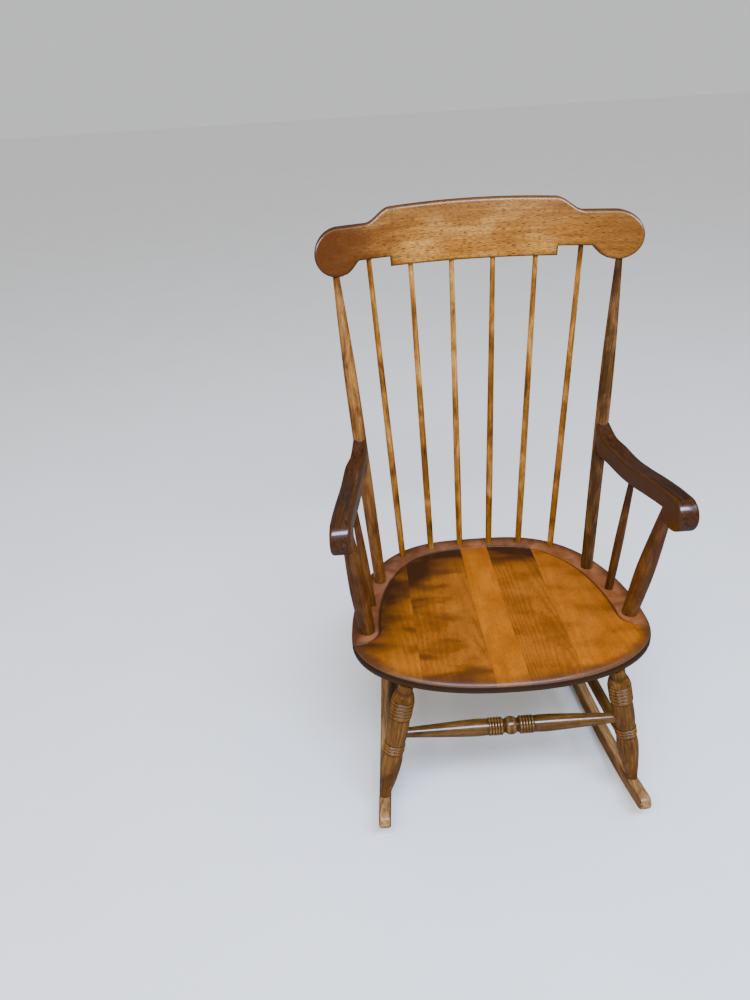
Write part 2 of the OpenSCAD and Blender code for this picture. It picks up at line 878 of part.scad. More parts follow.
// Middle line of an arm seen from above: x at a distance y.
front_mid_x = arm_gap / 2;
function arm_mid_x(y) = front_mid_x - (y + scroll_y) * tan(arm_slope);

module arm_side_outline() {
    rear = arm_back[1];
    polygon(concat(
        smooth([
            [rear, arm_h + arm_rear_rise],
            [rear - 34, arm_h + arm_rear_rise * 0.42],
            [rear - 66, arm_h + arm_rear_rise * 0.14],
            [rear - 112, arm_h],
            [rear - 162, arm_h + scroll_rise * 0.23],
            [rear - 212, arm_h + scroll_rise * 0.63],
            [mix(rear, -scroll_y, 0.88), arm_h + scroll_rise * 0.93],
            [-scroll_y, arm_h + scroll_rise]
        ], 5),
        [[-scroll_y, scroll_z], [-scroll_y + scroll_r * 0.7, scroll_z - scroll_r * 0.15]],
        smooth([
            [-scroll_y + scroll_r * 0.95, arm_under_z + 17],
            [-scroll_y + scroll_r * 2.2, arm_under_z + 13],
            [rear - 150, arm_under_z + 2],
            [rear - 98, arm_under_z],
            [rear - 48, arm_under_z + 4],
            [rear, arm_under_z + 10]
        ], 5)
    ));
    translate([-scroll_y, scroll_z])
        circle(r = scroll_r);
}

module arm_plan_outline() {
    rear = arm_back[1] + 20;
    mid = arm_back[1] - 75;
    front = -scroll_y - scroll_r - 1;
    half = arm_w / 2;
    inner = smooth([
        [arm_back[0] - arm_rear_w / 2, rear],
        [arm_back[0] - arm_rear_w / 2, arm_back[1] - 20],
        [arm_mid_x(mid) - half, mid],
        [arm_mid_x(-150) - half, -150],
        [arm_mid_x(front) - half, front]
    ], 6);
    outer = smooth([
        [arm_mid_x(front) + half - 1, front],
        [arm_mid_x(-150) + half, -150],
        [arm_mid_x(mid) + half, mid],
        [arm_back[0] + arm_rear_w / 2 + 11, arm_back[1] - 34],
        [arm_back[0] + arm_rear_w / 2, rear]
    ], 6);
    polygon(concat(inner, outer));
}

module arm_blank() {
    deck_frame()
        intersection() {
            rotate([90, 0, 90])
                linear_extrude(seat_w)
                    arm_side_outline();
            linear_extrude(2 * arm_h)
                arm_plan_outline();
        }
}

module arm(side) {
    color(dark_brown)
        for_side(side)
            difference() {
                arm_blank();
                post_clearance();
                socket(arm_post()[1], past_top(arm_post(), arm_socket), arm_post_tip_tenon_d);
                socket(arm_spindle()[1], past_top(arm_spindle(), arm_socket), arm_spindle_tip_tenon_d);
                arm_screw_hole();
            }
}

// The back post's own turned body, to cope the rear end of the arm.
module post_clearance() {
    piece = back_post();
    along(piece[0], piece[1])
        turning(post_profile(norm(piece[1] - piece[0])));
    deck_frame()
        translate([0, arm_back[1], 0])
            cube([seat_w, seat_rear, 2 * arm_h]);
}

arm_under_z = arm_h - arm_t;
arm_post_top_y = -scroll_y + scroll_r * 1.07;
arm_spindle_top_y = -arm_spindle_y;
function arm_post() = [
    on_deck([half_w - arm_post_foot_inset, -arm_post_y, 0]),
    on_deck([arm_mid_x(arm_post_top_y) - arm_post_inset, arm_post_top_y, arm_under_z + 16])
];
function arm_spindle() = [
    on_deck([half_w - arm_spindle_inset, -arm_spindle_y, 0]),
    on_deck([arm_mid_x(arm_spindle_top_y), arm_spindle_top_y, arm_under_z])
];

function arm_post_profile(l) = smooth([
    [0, arm_post_d * 0.86],
    [l * 0.2, arm_post_d * 0.95],
    [l * 0.45, arm_post_d],
    [l * 0.75, arm_post_d * 0.8],
    [l + 8, arm_post_d * 0.55]
], 5);
function arm_spindle_profile(l) = smooth([
    [0, arm_spindle_d * 0.92],
    [l * 0.45, arm_spindle_d],
    [l + 8, arm_spindle_d * 0.62]
], 6);

module arm_post_shape(side) {
    piece = arm_post();
    color(olive_brown)
        for_side(side)
            upright(piece, arm_post_profile(norm(piece[1] - piece[0])),
                arm_post_tenon_d, arm_post_tip_tenon_d, arm_socket) {
                plank_zone();
                arm_blank();
            }
}

module arm_spindle_shape(side) {
    piece = arm_spindle();
    color(olive_brown)
        for_side(side)
            upright(piece, arm_spindle_profile(norm(piece[1] - piece[0])),
                arm_spindle_tenon_d, arm_spindle_tip_tenon_d, arm_socket) {
                plank_zone();
                arm_blank();
            }
}

// ---- fastenings ----

// A line through the back post into the arm's rear end, from behind: [head, tip].
function arm_screw_line() =
    let (a = post_axis(arm_h + 2), tip_y = a[1] + post_d / 2 - plug_depth - screw_l)
    [on_deck([a[0], a[1] + post_d, a[2]]), on_deck([a[0] + 3, tip_y, a[2] - 4])];

// The screw's head sits under the plug, both inside the post's bore.
function along_screw(s) =
    let (line = arm_screw_line(), v = unit(line[1] - line[0]))
    line[0] + v * s;
// Where the post's rear surface is met, from the line's start.
screw_surface = post_d * 0.53;

module arm_screw_hole() {
    along(along_screw(0), along_screw(1))
        cylinder(d = plug_d + 2 * glue, h = screw_surface + plug_depth + screw_head_h);
    along(along_screw(0), along_screw(1))
        cylinder(d = screw_d + 2 * glue, h = screw_surface + plug_depth + screw_l + 7);
}

module arm_screws() {
    color(steel)
        for (side = [LEFT, RIGHT])
            for_side(side)
                along(along_screw(screw_surface + plug_depth), along_screw(screw_surface + plug_depth + 1)) {
                    cylinder(d = screw_head_d, h = screw_head_h);
                    cylinder(d = screw_d, h = screw_l);
                }
}

module arm_plugs() {
    color(golden_brown)
        for (side = [LEFT, RIGHT])
            for_side(side)
                intersection() {
                    along(along_screw(0), along_screw(1))
                        cylinder(d = plug_d, h = screw_surface + plug_depth - glue);
                    along(back_post()[0], back_post()[1])
                        turning(post_profile(norm(back_post()[1] - back_post()[0])));
                }
}

// Pins through the rockers' sides and the leg tenons in them.
function rocker_pin_at(leg) = leg_end(leg, foot_socket * 0.6);

module rocker_pin(leg, d) {
    at = rocker_pin_at(leg);
    translate([rocker_mid_x(at[1]), at[1], at[2]])
        rotate([0, 0, rocker_toe])
            rotate([0, 90, 0])
                cylinder(d = d, h = rocker_t - 0.4, center = true);
}

module rocker_pin_holes() {
    for (leg = [front_leg(), rear_leg()])
        rocker_pin(leg, pin_d + 2 * glue);
}

module rocker_pins() {
    color(steel)
        for (side = [LEFT, RIGHT])
            for_side(side)
                for (leg = [front_leg(), rear_leg()])
                    rocker_pin(leg, pin_d);
}

// Brads driven from behind through the crest and the posts' tenons.
module crest_pin(d) {
    at = past_top(back_post(), crest_socket * 0.6);
    translate(at)
        rotate([90, 0, 0])
            translate([0, 0, -crest_t * 0.4])
                cylinder(d = d, h = crest_t * 0.75);
}

module crest_pin_holes() {
    crest_pin(pin_d + 2 * glue);
}

module crest_pins() {
    color(steel)
        for (side = [LEFT, RIGHT])
            for_side(side)
                crest_pin(pin_d);
}

// ---- what is drawn ----

seat_board(1);  // seat_board_1
seat_board(2);  // seat_board_2
seat_board(3);  // seat_board_3
seat_board(4);  // seat_board_4
seat_board(5);  // seat_board_5
crest_rail();
back_post_shape(LEFT);  // back_post_left
back_post_shape(RIGHT);  // back_post_right
back_spindle_shape(3, LEFT);  // back_spindle_1
back_spindle_shape(2, LEFT);  // back_spindle_2
back_spindle_shape(1, LEFT);  // back_spindle_3
back_spindle_shape(1, RIGHT);  // back_spindle_4
back_spindle_shape(2, RIGHT);  // back_spindle_5
back_spindle_shape(3, RIGHT);  // back_spindle_6
arm(LEFT);  // arm_left
arm(RIGHT);  // arm_right
arm_post_shape(LEFT);  // arm_post_left
arm_post_shape(RIGHT);  // arm_post_right
arm_spindle_shape(LEFT);  // arm_spindle_left
arm_spindle_shape(RIGHT);  // arm_spindle_right
turned_leg("front", LEFT);  // front_leg_left
turned_leg("front", RIGHT);  // front_leg_right
turned_leg("rear", LEFT);  // rear_leg_left
turned_leg("rear", RIGHT);  // rear_leg_right
cross_stretcher(front_stretcher_end(), "ringed");  // front_stretcher
cross_stretcher(rear_stretcher_end(), "plain");  // rear_stretcher
side_stretcher(LEFT);  // side_stretcher_left
side_stretcher(RIGHT);  // side_stretcher_right
rocker(LEFT);  // rocker_left
rocker(RIGHT);  // rocker_right
arm_screws();
arm_plugs();
rocker_pins();
crest_pins();
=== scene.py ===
# %% [markdown]
# # A spindle-back rocking chair
# The chair is hard maple: a plank seat, turned legs and spindles, and a crest rail steamed to a bend.
# Its finish is a coloured lacquer sprayed in several coats, dark at the edges and pale where it wore.
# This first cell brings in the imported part, which fixes where every piece goes.

from math import asin, cos, degrees, pi, radians, sin, sqrt, tan

import bmesh
import bpy
import numpy as np
from mathutils import Matrix, Vector, kdtree


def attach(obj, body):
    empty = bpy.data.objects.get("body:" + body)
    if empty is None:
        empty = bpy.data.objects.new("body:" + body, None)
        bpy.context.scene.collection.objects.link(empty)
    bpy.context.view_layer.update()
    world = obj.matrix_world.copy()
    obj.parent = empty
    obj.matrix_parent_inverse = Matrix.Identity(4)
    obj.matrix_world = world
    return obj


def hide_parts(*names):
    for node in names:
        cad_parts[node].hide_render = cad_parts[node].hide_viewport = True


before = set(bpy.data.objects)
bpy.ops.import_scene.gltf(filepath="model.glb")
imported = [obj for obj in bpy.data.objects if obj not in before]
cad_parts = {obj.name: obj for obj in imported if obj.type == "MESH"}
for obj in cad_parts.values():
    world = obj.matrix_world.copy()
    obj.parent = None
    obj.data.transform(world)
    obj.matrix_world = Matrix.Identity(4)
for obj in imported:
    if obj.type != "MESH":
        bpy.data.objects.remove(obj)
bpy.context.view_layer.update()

# %% [markdown]
# ## Sizes and the seat deck
# Chairmakers measure a chair from its seat, because the legs and the back are both bored from it.
# The seat tips back a little, so pieces are laid out on a level deck and then tipped with one function.
# Sizes are in millimetres as on a drawing, and `MM` turns them into Blender's metres at the last moment.

# %% Deck and small curve helpers
MM = 0.001
DECK_H = 326
DECK_TILT = radians(2.5)


def on_deck(x, y, z):
    """A point measured from the seat deck, as the same point measured from the floor."""
    c, s = cos(DECK_TILT), sin(DECK_TILT)
    return Vector((x, y * c + z * s, z * c - y * s + DECK_H))


def mix(a, b, t):
    return a + (b - a) * t


def ease(t):
    """A step from 0 to 1 that leaves and arrives level."""
    return (1 - cos(pi * min(max(t, 0), 1))) / 2


def smooth(stations, steps=6):
    """A smooth curve through drawn stations (Catmull-Rom), as a list of points."""
    p = [np.array(s, float) for s in stations]
    p = [p[0]] + p + [p[-1]]
    out = []
    for a, b, c, d in zip(p, p[1:], p[2:], p[3:]):
        for k in range(steps):
            t = k / steps
            square, cube = 2 * a - 5 * b + 4 * c - d, 3 * b - a - 3 * c + d
            out.append(0.5 * (2 * b + (c - a) * t + square * t**2 + cube * t**3))
    return [tuple(v) for v in out] + [tuple(p[-1])]


print("deck middle on the floor frame:", tuple(round(v, 1) for v in on_deck(0, 0, 0)))

# %% [markdown]
# ## From points to a piece
# Every wooden piece is made from a list of points and faces worked out in code.
# Wood shows which way it grew, so each point also keeps a place called `grain`, with Z along the fibres.
# A second value, `edge`, says how proud a point stands: 1 on an arris or bead, 0 on a flat, -1 in a groove.
# The materials read both, so one lacquer recipe fits every piece, however it is turned in space.
# A left-hand piece is often the mirror image of the right-hand one, which turns its faces inside out,
# so the maker works out afresh which way every face looks.

# %% Mesh maker
def keep_value(mesh, key, values):
    """Keeps one number for each point of a mesh, under a name that a material can read."""
    mesh.attributes.new(key, "FLOAT", "POINT").data.foreach_set("value", np.array(values, float))


def wooden_piece(name, points, faces, grain, edge, stands_for, sharp=50):
    mesh = bpy.data.meshes.new(name)
    mesh.from_pydata([tuple(p) for p in points], [], faces)
    places = mesh.attributes.new("grain", "FLOAT_VECTOR", "POINT")
    places.data.foreach_set("vector", np.array(grain, float).ravel())
    keep_value(mesh, "edge", edge)
    bm = bmesh.new()
    bm.from_mesh(mesh)
    bmesh.ops.recalc_face_normals(bm, faces=bm.faces)
    bm.to_mesh(mesh)
    bm.free()
    mesh.shade_smooth()
    mesh.set_sharp_from_angle(angle=radians(sharp))
    piece = bpy.data.objects.new(name, mesh)
    bpy.context.collection.objects.link(piece)
    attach(piece, "root")
    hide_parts(stands_for)
    return piece


pieces = {}
print("mesh maker ready, 1 mm is", MM, "m")

# %% [markdown]
# ## Turned pieces
# Legs, stretchers, posts and spindles are turned: the wood spins and a tool cuts a profile into it.
# Blender's Screw modifier could spin a profile too. Here the rings of points are placed directly,
# because each piece leans its own way and the beads need their own `edge` value.

# %% Turning
NEAR = 5.5  # a point is proud or sunk against the mean diameter this far to each side, in mm
FULLY_PROUD = 1.6  # mm over that mean where `edge` reaches 1


def turned(name, start, end, profile, sides=40, shift=(0, 0, 0)):
    """A turning on the line from start to end. The profile is a list of (distance, diameter)."""
    axis = (end - start).normalized()
    across = axis.cross(Vector((0, 1, 0.1))).normalized()
    other = axis.cross(across)
    stations = np.array(profile, float)
    near = [np.abs(stations[:, 0] - s) < NEAR for s in stations[:, 0]]
    proud = np.array([(stations[i, 1] - stations[n, 1].mean()) for i, n in enumerate(near)]) / FULLY_PROUD
    points, grain, edge = [], [], []
    for (s, d), lift in zip(profile, np.clip(proud, -1, 1)):
        for k in range(sides):
            a = 2 * pi * k / sides
            x, y = d / 2 * cos(a), d / 2 * sin(a)
            points.append((start + axis * s + across * x + other * y) * MM)
            grain.append(((x + shift[0]) * MM, (y + shift[1]) * MM, (s + shift[2]) * MM))
            edge.append(lift)
    rows = len(profile)
    faces = [
        (r * sides + k, r * sides + (k + 1) % sides, (r + 1) * sides + (k + 1) % sides, (r + 1) * sides + k)
        for r in range(rows - 1)
        for k in range(sides)
    ]
    faces.append(tuple(range(sides))[::-1])
    faces.append(tuple((rows - 1) * sides + k for k in range(sides)))
    pieces[name] = wooden_piece(name + "_turning", points, faces, grain, edge, name)
    return pieces[name]


def beads(start, pitch, count, bead_d, valley_d):
    """Half-round beads side by side along a turning."""
    return [
        (start + pitch * (i + (1 - cos(a)) / 2), valley_d + (bead_d - valley_d) * sin(a))
        for i in range(count)
        for a in np.linspace(0, pi, 9)[:-1]
    ]


def mirrored(p, side):
    return Vector((side * p[0], p[1], p[2]))


# %% [markdown]
# ## Rockers' line and the legs
# A rocker's underside is part of one circle, 1380 mm in radius, and its top is 29 mm above that.
# The legs run from the seat's underside to that curved top, splayed out and raked like a stool's.
# Each leg has a narrow neck, five beads, a barrel, three more beads and a long taper to the foot.

# %% Legs
ROCKER_R, ROCKER_H, ROCKER_T, ROCKER_L, REST_Y = 1380, 29, 22, 758, 61
ROCKER_X, TOE = 437 / 2, radians(3.3)
SEAT_T, LEG_D, NECK_D, FOOT_D = 37, 42, 27, 19
HALF_W = 557 / 2


def arc_height(r, y):
    return ROCKER_R - sqrt(r * r - (y + REST_Y) ** 2)


def foot_point(y):
    """Where a leg meets the rocker's curved top. The rocker toes in, so the way along it is longer than y."""
    along = (y + REST_Y) / cos(TOE) - REST_Y
    return Vector((ROCKER_X - y * tan(TOE), y, arc_height(ROCKER_R - ROCKER_H, along)))


legs = {
    "front": (on_deck(HALF_W - 90.5, -294, -SEAT_T), foot_point(-312)),
    "rear": (on_deck(HALF_W - 135.5, 64, -SEAT_T), foot_point(132)),
}


def leg_profile(length):
    return (
        smooth([(-12, NECK_D), (3, NECK_D + 1), (11, LEG_D * 0.84), (20, LEG_D * 0.96)], 5)
        + beads(21.5, 7.4, 5, LEG_D, LEG_D * 0.87)
        + smooth([(59, LEG_D * 0.87), (64, LEG_D * 0.91), (95, LEG_D * 0.94), (119, LEG_D * 0.87)], 6)
        + beads(121, 6.4, 3, LEG_D * 0.94, LEG_D * 0.82)
        + smooth([(141, LEG_D * 0.82), (148, LEG_D * 0.88), (168, LEG_D * 0.93),
                  (mix(168, length, 0.42), LEG_D * 0.78), (mix(168, length, 0.8), FOOT_D + 4),
                  (length - 2, FOOT_D), (length + 5, FOOT_D)], 6)
    )


for which, (top, foot) in legs.items():
    for side, word in ((-1, "left"), (1, "right")):
        turned(f"{which}_leg_{word}", mirrored(top, side), mirrored(foot, side),
               leg_profile((foot - top).length), sides=48,
               shift=(31 * side, 17, 400 * side + (90 if which == "rear" else 0)))
print("legs:", list(pieces))
print("length of a front leg:", round((legs["front"][1] - legs["front"][0]).length, 1), "mm")

# %% [markdown]
# ## Stretchers
# The front stretcher is the show piece: a bead in the middle, a cove, five rings, then a swelling.
# The side and rear stretchers are plain, with one line scored at each side of their middle.
# Each is turned as one half profile and its mirror image.

# %% Stretchers
FRONT_D, PLAIN_D, NECK_AT_BEAD, TENON_D = 33, 22, 23, 14


def front_half(l):
    swell = FRONT_D - NECK_AT_BEAD
    return (
        [(10 * sin(a), NECK_AT_BEAD + swell * cos(a)) for a in np.linspace(0, pi / 2, 9)]
        + beads(15, 5.2, 5, FRONT_D, FRONT_D * 0.86)
        + smooth([(42, FRONT_D * 0.9), (l * 0.36, FRONT_D * 0.94), (l * 0.7, FRONT_D * 0.74),
                  (l, TENON_D + 4)], 8)
        + [(l + 4, TENON_D + 4)]
    )


def plain_half(l):
    d, scored = PLAIN_D - 0.4, PLAIN_D - 1.8
    return (
        [(0, PLAIN_D), (30, PLAIN_D - 0.1), (63, d), (64, d)]
        + [(64.6, scored), (65.4, scored), (66, d), (67, d)]
        + smooth([(80, d - 0.1), (mix(64, l, 0.5), PLAIN_D - 1.5), (l, TENON_D + 2)], 6)
        + [(l + 4, TENON_D + 2)]
    )


def both_ways(half):
    return [(-s, d) for s, d in half[:0:-1]] + half


def on_leg(which, side, drop):
    top, foot = (mirrored(p, side) for p in legs[which])
    return top + (foot - top).normalized() * drop


def stretcher(name, a, b, half):
    middle, reach = (a + b) / 2, (b - a).length / 2 - LEG_D * 0.41
    turned(name, middle, b, both_ways(half(reach)), shift=(9, 23 + len(name), 37 * len(pieces)))


stretcher("front_stretcher", on_leg("front", -1, 102), on_leg("front", 1, 102), front_half)
stretcher("rear_stretcher", on_leg("rear", -1, 102), on_leg("rear", 1, 102), plain_half)
for side, word in ((-1, "left"), (1, "right")):
    stretcher(f"side_stretcher_{word}", on_leg("front", side, 172), on_leg("rear", side, 172), plain_half)
print("stretchers made,", len(pieces), "turnings so far")

# %% [markdown]
# ## Back posts and spindles
# The posts and six spindles fan out from the seat's rear rim to the bent crest.
# `crest_y` gives the middle of the crest's thickness, which the tops of the spindles aim at.

# %% Back turnings
CREST_Z, CREST_BACK, CREST_R, CREST_LEAN = 610, 164, 520, radians(9.4)
CREST_W, CREST_H, CREST_T, EAR_R = 592, 107, 21, 42.5
STEP_X, STEP_H = 157, 17
EAR_X, EAR_Z = CREST_W / 2 - EAR_R, CREST_Z - 6 + EAR_R
SEAT_FRONT, SEAT_REAR, WAIST = 341, 152, 175
POST_D, POST_TIP_D, SPINDLE_D, SPINDLE_TIP_D = 26, 12.5, 14, 9.4
SPINDLE_PITCH, SPINDLE_TOP_PITCH, SPINDLE_INSET = 65, 79.4, 24
POST_TOP_X, POST_INSET = 521 / 2, 62.5


def crest_y(x, z):
    return CREST_BACK - CREST_R + sqrt(CREST_R**2 - x * x) + (z - CREST_Z) * tan(CREST_LEAN)


def rim_y(x):
    return -WAIST + (SEAT_REAR + WAIST) * sqrt(1 - (abs(x) / HALF_W) ** 3)


ear_foot_z = EAR_Z - sqrt(EAR_R**2 - (POST_TOP_X - EAR_X) ** 2)
post_foot = (HALF_W - POST_INSET, 0, 0)
post_top = (POST_TOP_X, crest_y(POST_TOP_X, ear_foot_z), ear_foot_z)


def post_profile(l):
    return smooth([(-6, POST_D * 0.92), (0, POST_D * 0.92), (l * 0.12, POST_D * 0.96), (l * 0.4, POST_D),
                   (l * 0.66, POST_D * 0.97), (l * 0.84, POST_D * 0.76), (l, POST_TIP_D),
                   (l + 6, POST_TIP_D)], 7)


def spindle_profile(l):
    return smooth([(-6, SPINDLE_D * 0.94), (0, SPINDLE_D * 0.94), (l * 0.25, SPINDLE_D),
                   (l * 0.6, SPINDLE_D * 0.86), (l, SPINDLE_TIP_D), (l + 6, SPINDLE_TIP_D)], 8)


for side, word in ((-1, "left"), (1, "right")):
    foot, top = mirrored(on_deck(*post_foot), side), mirrored(on_deck(*post_top), side)
    turned(f"back_post_{word}", foot, top, post_profile((top - foot).length),
           shift=(40 * side, 8, 700 * side))
for i in range(6):
    n = i - 2.5
    x, x_top = SPINDLE_PITCH * n, SPINDLE_TOP_PITCH * n
    z_top = CREST_Z + (STEP_H if abs(x_top) > STEP_X else 0)
    foot, top = on_deck(x, rim_y(x) - SPINDLE_INSET, 0), on_deck(x_top, crest_y(x_top, z_top), z_top)
    turned(f"back_spindle_{i + 1}", foot, top, spindle_profile((top - foot).length), sides=28,
           shift=(20 * i, 5 * i, 310 * i))
print("a post is", round((on_deck(*post_top) - on_deck(*post_foot)).length), "mm long")

# %% [markdown]
# ## Boards with eased edges
# The crest, the arms and the rockers are sawn from flat boards and their edges are rounded over.
# A Bevel modifier on a thin slab would do it, but it pinches where an outline turns sharply.
# Instead each board is a sheet of columns across its outline, one on each face, and its thickness
# falls away in a quarter circle near the outline. The distance to the outline also gives `edge`.

# %% Eased board
def distance_to_outline(points, outline):
    a = np.array(outline)
    b = np.roll(a, -1, axis=0)
    p = np.array(points)[:, None, :]
    along = np.clip(((p - a) * (b - a)).sum(-1) / np.maximum(((b - a) ** 2).sum(-1), 1e-9), 0, 1)
    return np.sqrt((((a + (b - a) * along[..., None]) - p) ** 2).sum(-1)).min(1)


def eased_board(name, columns, rows, half_t, ease_r, place, grain_of):
    """columns: (low, high) pairs of 2D points. place(u, v, side, share) gives the 3D point in mm."""
    n = len(columns)
    flat = []
    for low, high in columns:
        for j in range(rows):
            t = (1 - cos(pi * j / (rows - 1))) / 2
            flat.append((mix(low[0], high[0], t), mix(low[1], high[1], t)))
    outline = [c[0] for c in columns] + [c[1] for c in columns[::-1]]
    inset = distance_to_outline(flat, outline)
    points, grain, edge = [], [], []
    for side in (-1, 1):
        for (u, v), d in zip(flat, inset):
            fall = max(ease_r - d, 0)
            share = (half_t - ease_r + sqrt(ease_r**2 - fall**2)) / half_t
            points.append(Vector(place(u, v, side, share)) * MM)
            grain.append(Vector(grain_of(u, v, side * share * half_t)) * MM)
            edge.append(max(0, 1 - d / ease_r) if d > 0.01 else 1)
    back = n * rows
    faces = []
    for i in range(n - 1):
        for j in range(rows - 1):
            a, b, c, d = i * rows + j, (i + 1) * rows + j, (i + 1) * rows + j + 1, i * rows + j + 1
            faces += [(a, d, c, b), (back + a, back + b, back + c, back + d)]
    loop = [i * rows for i in range(n)] + [(n - 1) * rows + j for j in range(1, rows)]
    loop += [i * rows + rows - 1 for i in range(n - 2, -1, -1)] + [j for j in range(rows - 2, 0, -1)]
    faces += [(a, b, back + b, back + a) for a, b in zip(loop, loop[1:] + loop[:1])]
    pieces[name] = wooden_piece(name + "_board", points, faces, grain, edge, name)
    return pieces[name]


# %% [markdown]
# ## Rockers
# A rocker is sawn to the arc from a 22 mm board, with its ends rounded. Both toe in towards the rear.
# The columns stand square to the arc and shorten at the ends along a half circle. The underside is
# kept 0.02 mm off the arc, so that it never dips through the floor between two columns.

# %% Rockers
def rocker_columns():
    mid_r, cap = ROCKER_R - ROCKER_H / 2, ROCKER_H / 2
    half = (ROCKER_L - ROCKER_H) / 2
    first, last = asin((-half + REST_Y) / mid_r), asin((half + REST_Y) / mid_r)
    stations = [(first - cap * sin(a) / mid_r, cap * cos(a)) for a in np.linspace(pi * 0.47, 0, 9)]
    stations += [(t, cap) for t in np.linspace(first, last, 70)[1:-1]]
    stations += [(last + cap * sin(a) / mid_r, cap * cos(a)) for a in np.linspace(0, pi * 0.47, 9)]
    out = []
    for angle, reach in stations:
        low, high = mid_r + reach - 0.02, mid_r - reach
        out.append(tuple((r * sin(angle) - REST_Y, ROCKER_R - r * cos(angle)) for r in (low, high)))
    return out


for side, word in ((-1, "left"), (1, "right")):
    def place_rocker(y, z, face, share, side=side):
        x = face * share * ROCKER_T / 2
        return (side * (ROCKER_X + x * cos(TOE) - y * sin(TOE)), y * cos(TOE) + x * sin(TOE), z)

    eased_board(f"rocker_{word}", rocker_columns(), 13, ROCKER_T / 2, 4.5, place_rocker,
                lambda u, v, w, s=side: (v + 30 * s, w, u + 500 * s))
    if side == 1:
        print("rocker:", len(pieces["rocker_right"].data.vertices), "points")

# %% [markdown]
# ## Crest rail
# The crest is sawn to its outline and then steamed and bent round a form, so it curves back and leans.
# Its outline is one half and its mirror: a straight lower edge, a small step, a sweep to the round ear,
# and a top edge that falls from the crown over a shoulder to the ear.

# %% Crest rail
def crest_low(x):
    x = abs(x)
    if x <= STEP_X - 0.05:
        return CREST_Z
    start, end, end_z = 217, EAR_X - EAR_R * 0.2, EAR_Z - EAR_R * 0.96
    if x <= start:
        return CREST_Z + STEP_H
    if x < end:
        return mix(CREST_Z + STEP_H, end_z, sin(pi / 2 * (x - start) / (end - start)))
    return EAR_Z - sqrt(max(EAR_R**2 - (x - EAR_X) ** 2, 0))


def crest_high(x):
    x, top, crown = abs(x), CREST_Z + CREST_H - 0.1, 4
    if x <= 154:
        return top - crown * (x / 154) ** 2
    if x <= 203:
        return mix(top - crown, EAR_Z + EAR_R, ease((x - 154) / 49))
    if x <= EAR_X:
        return EAR_Z + EAR_R
    return EAR_Z + sqrt(max(EAR_R**2 - (x - EAR_X) ** 2, 0))


half_x = list(np.linspace(0, STEP_X - 0.1, 40)) + list(np.linspace(STEP_X + 0.1, EAR_X, 34))
half_x += [EAR_X + EAR_R * sin(a) for a in np.linspace(0, pi * 0.485, 22)[1:]]
crest_x = [-x for x in half_x[:0:-1]] + half_x


def place_crest(x, z, face, share):
    y = CREST_BACK - CREST_R + sqrt((CREST_R + face * share * CREST_T / 2) ** 2 - x * x)
    return on_deck(x, y + (z - CREST_Z) * tan(CREST_LEAN), z)


def crest_grain(u, v, w):
    return v, w, u


crest_columns = [((x, crest_low(x)), (x, crest_high(x))) for x in crest_x]
eased_board("crest_rail", crest_columns, 31, CREST_T / 2, 5.5, place_crest, crest_grain)
print("crest:", len(pieces["crest_rail"].data.polygons), "faces")

# %% [markdown]
# ## Arms
# Each arm is bandsawn twice: first to its side view, with the round scroll at the front, then to its plan.
# The two cuts are the two curves here. The side view gives the columns, the plan gives inner and outer faces.

# %% Arms
ARM_H, ARM_T, ARM_W, ARM_REAR_W = 272, 36, 35, 21
SCROLL_Y, SCROLL_R, ARM_GAP, ARM_SPLAY = 257, 30, 555, radians(6)
SCROLL_Z, UNDER_Z = ARM_H + 15 - SCROLL_R, ARM_H - ARM_T


def on_post(z):
    return [mix(a, b, z / post_top[2]) for a, b in zip(post_foot, post_top)]


arm_back = on_post(ARM_H + 10)
REAR = arm_back[1]
top_line = smooth([(REAR, ARM_H + 36), (REAR - 34, ARM_H + 15), (REAR - 66, ARM_H + 5), (REAR - 112, ARM_H),
                   (REAR - 162, ARM_H + 3.5), (REAR - 212, ARM_H + 9.5),
                   (mix(REAR, -SCROLL_Y, 0.88), ARM_H + 14), (-SCROLL_Y, ARM_H + 15)], 8)
under_line = smooth([(-SCROLL_Y + SCROLL_R * 0.95, UNDER_Z + 17), (-SCROLL_Y + SCROLL_R * 2.2, UNDER_Z + 13),
                     (REAR - 150, UNDER_Z + 2), (REAR - 98, UNDER_Z), (REAR - 48, UNDER_Z + 4),
                     (REAR, UNDER_Z + 10)], 8)


def read_line(line, y):
    p = np.array(sorted(line))
    return float(np.interp(y, p[:, 0], p[:, 1]))


def arm_mid_x(y):
    return ARM_GAP / 2 - (y + SCROLL_Y) * tan(ARM_SPLAY)


half, front, mid = ARM_W / 2, -SCROLL_Y - SCROLL_R - 1, REAR - 75
inner_line = smooth([(REAR + 20, arm_back[0] - ARM_REAR_W / 2), (REAR - 20, arm_back[0] - ARM_REAR_W / 2),
                     (mid, arm_mid_x(mid) - half), (-150, arm_mid_x(-150) - half),
                     (front, arm_mid_x(front) - half)], 8)
outer_line = smooth([(front, arm_mid_x(front) + half - 1), (-150, arm_mid_x(-150) + half),
                     (mid, arm_mid_x(mid) + half), (REAR - 34, arm_back[0] + ARM_REAR_W / 2 + 11),
                     (REAR + 20, arm_back[0] + ARM_REAR_W / 2)], 8)


def arm_column(y):
    round_part = sqrt(max(SCROLL_R**2 - (y + SCROLL_Y) ** 2, 0)) if abs(y + SCROLL_Y) < SCROLL_R else None
    if y <= -SCROLL_Y:
        return ((y, SCROLL_Z - round_part), (y, SCROLL_Z + round_part))
    high = read_line(top_line, y)
    low = read_line(under_line, y)
    if y < -SCROLL_Y + SCROLL_R * 0.95:
        low = SCROLL_Z - round_part
    return ((y, low), (y, high))


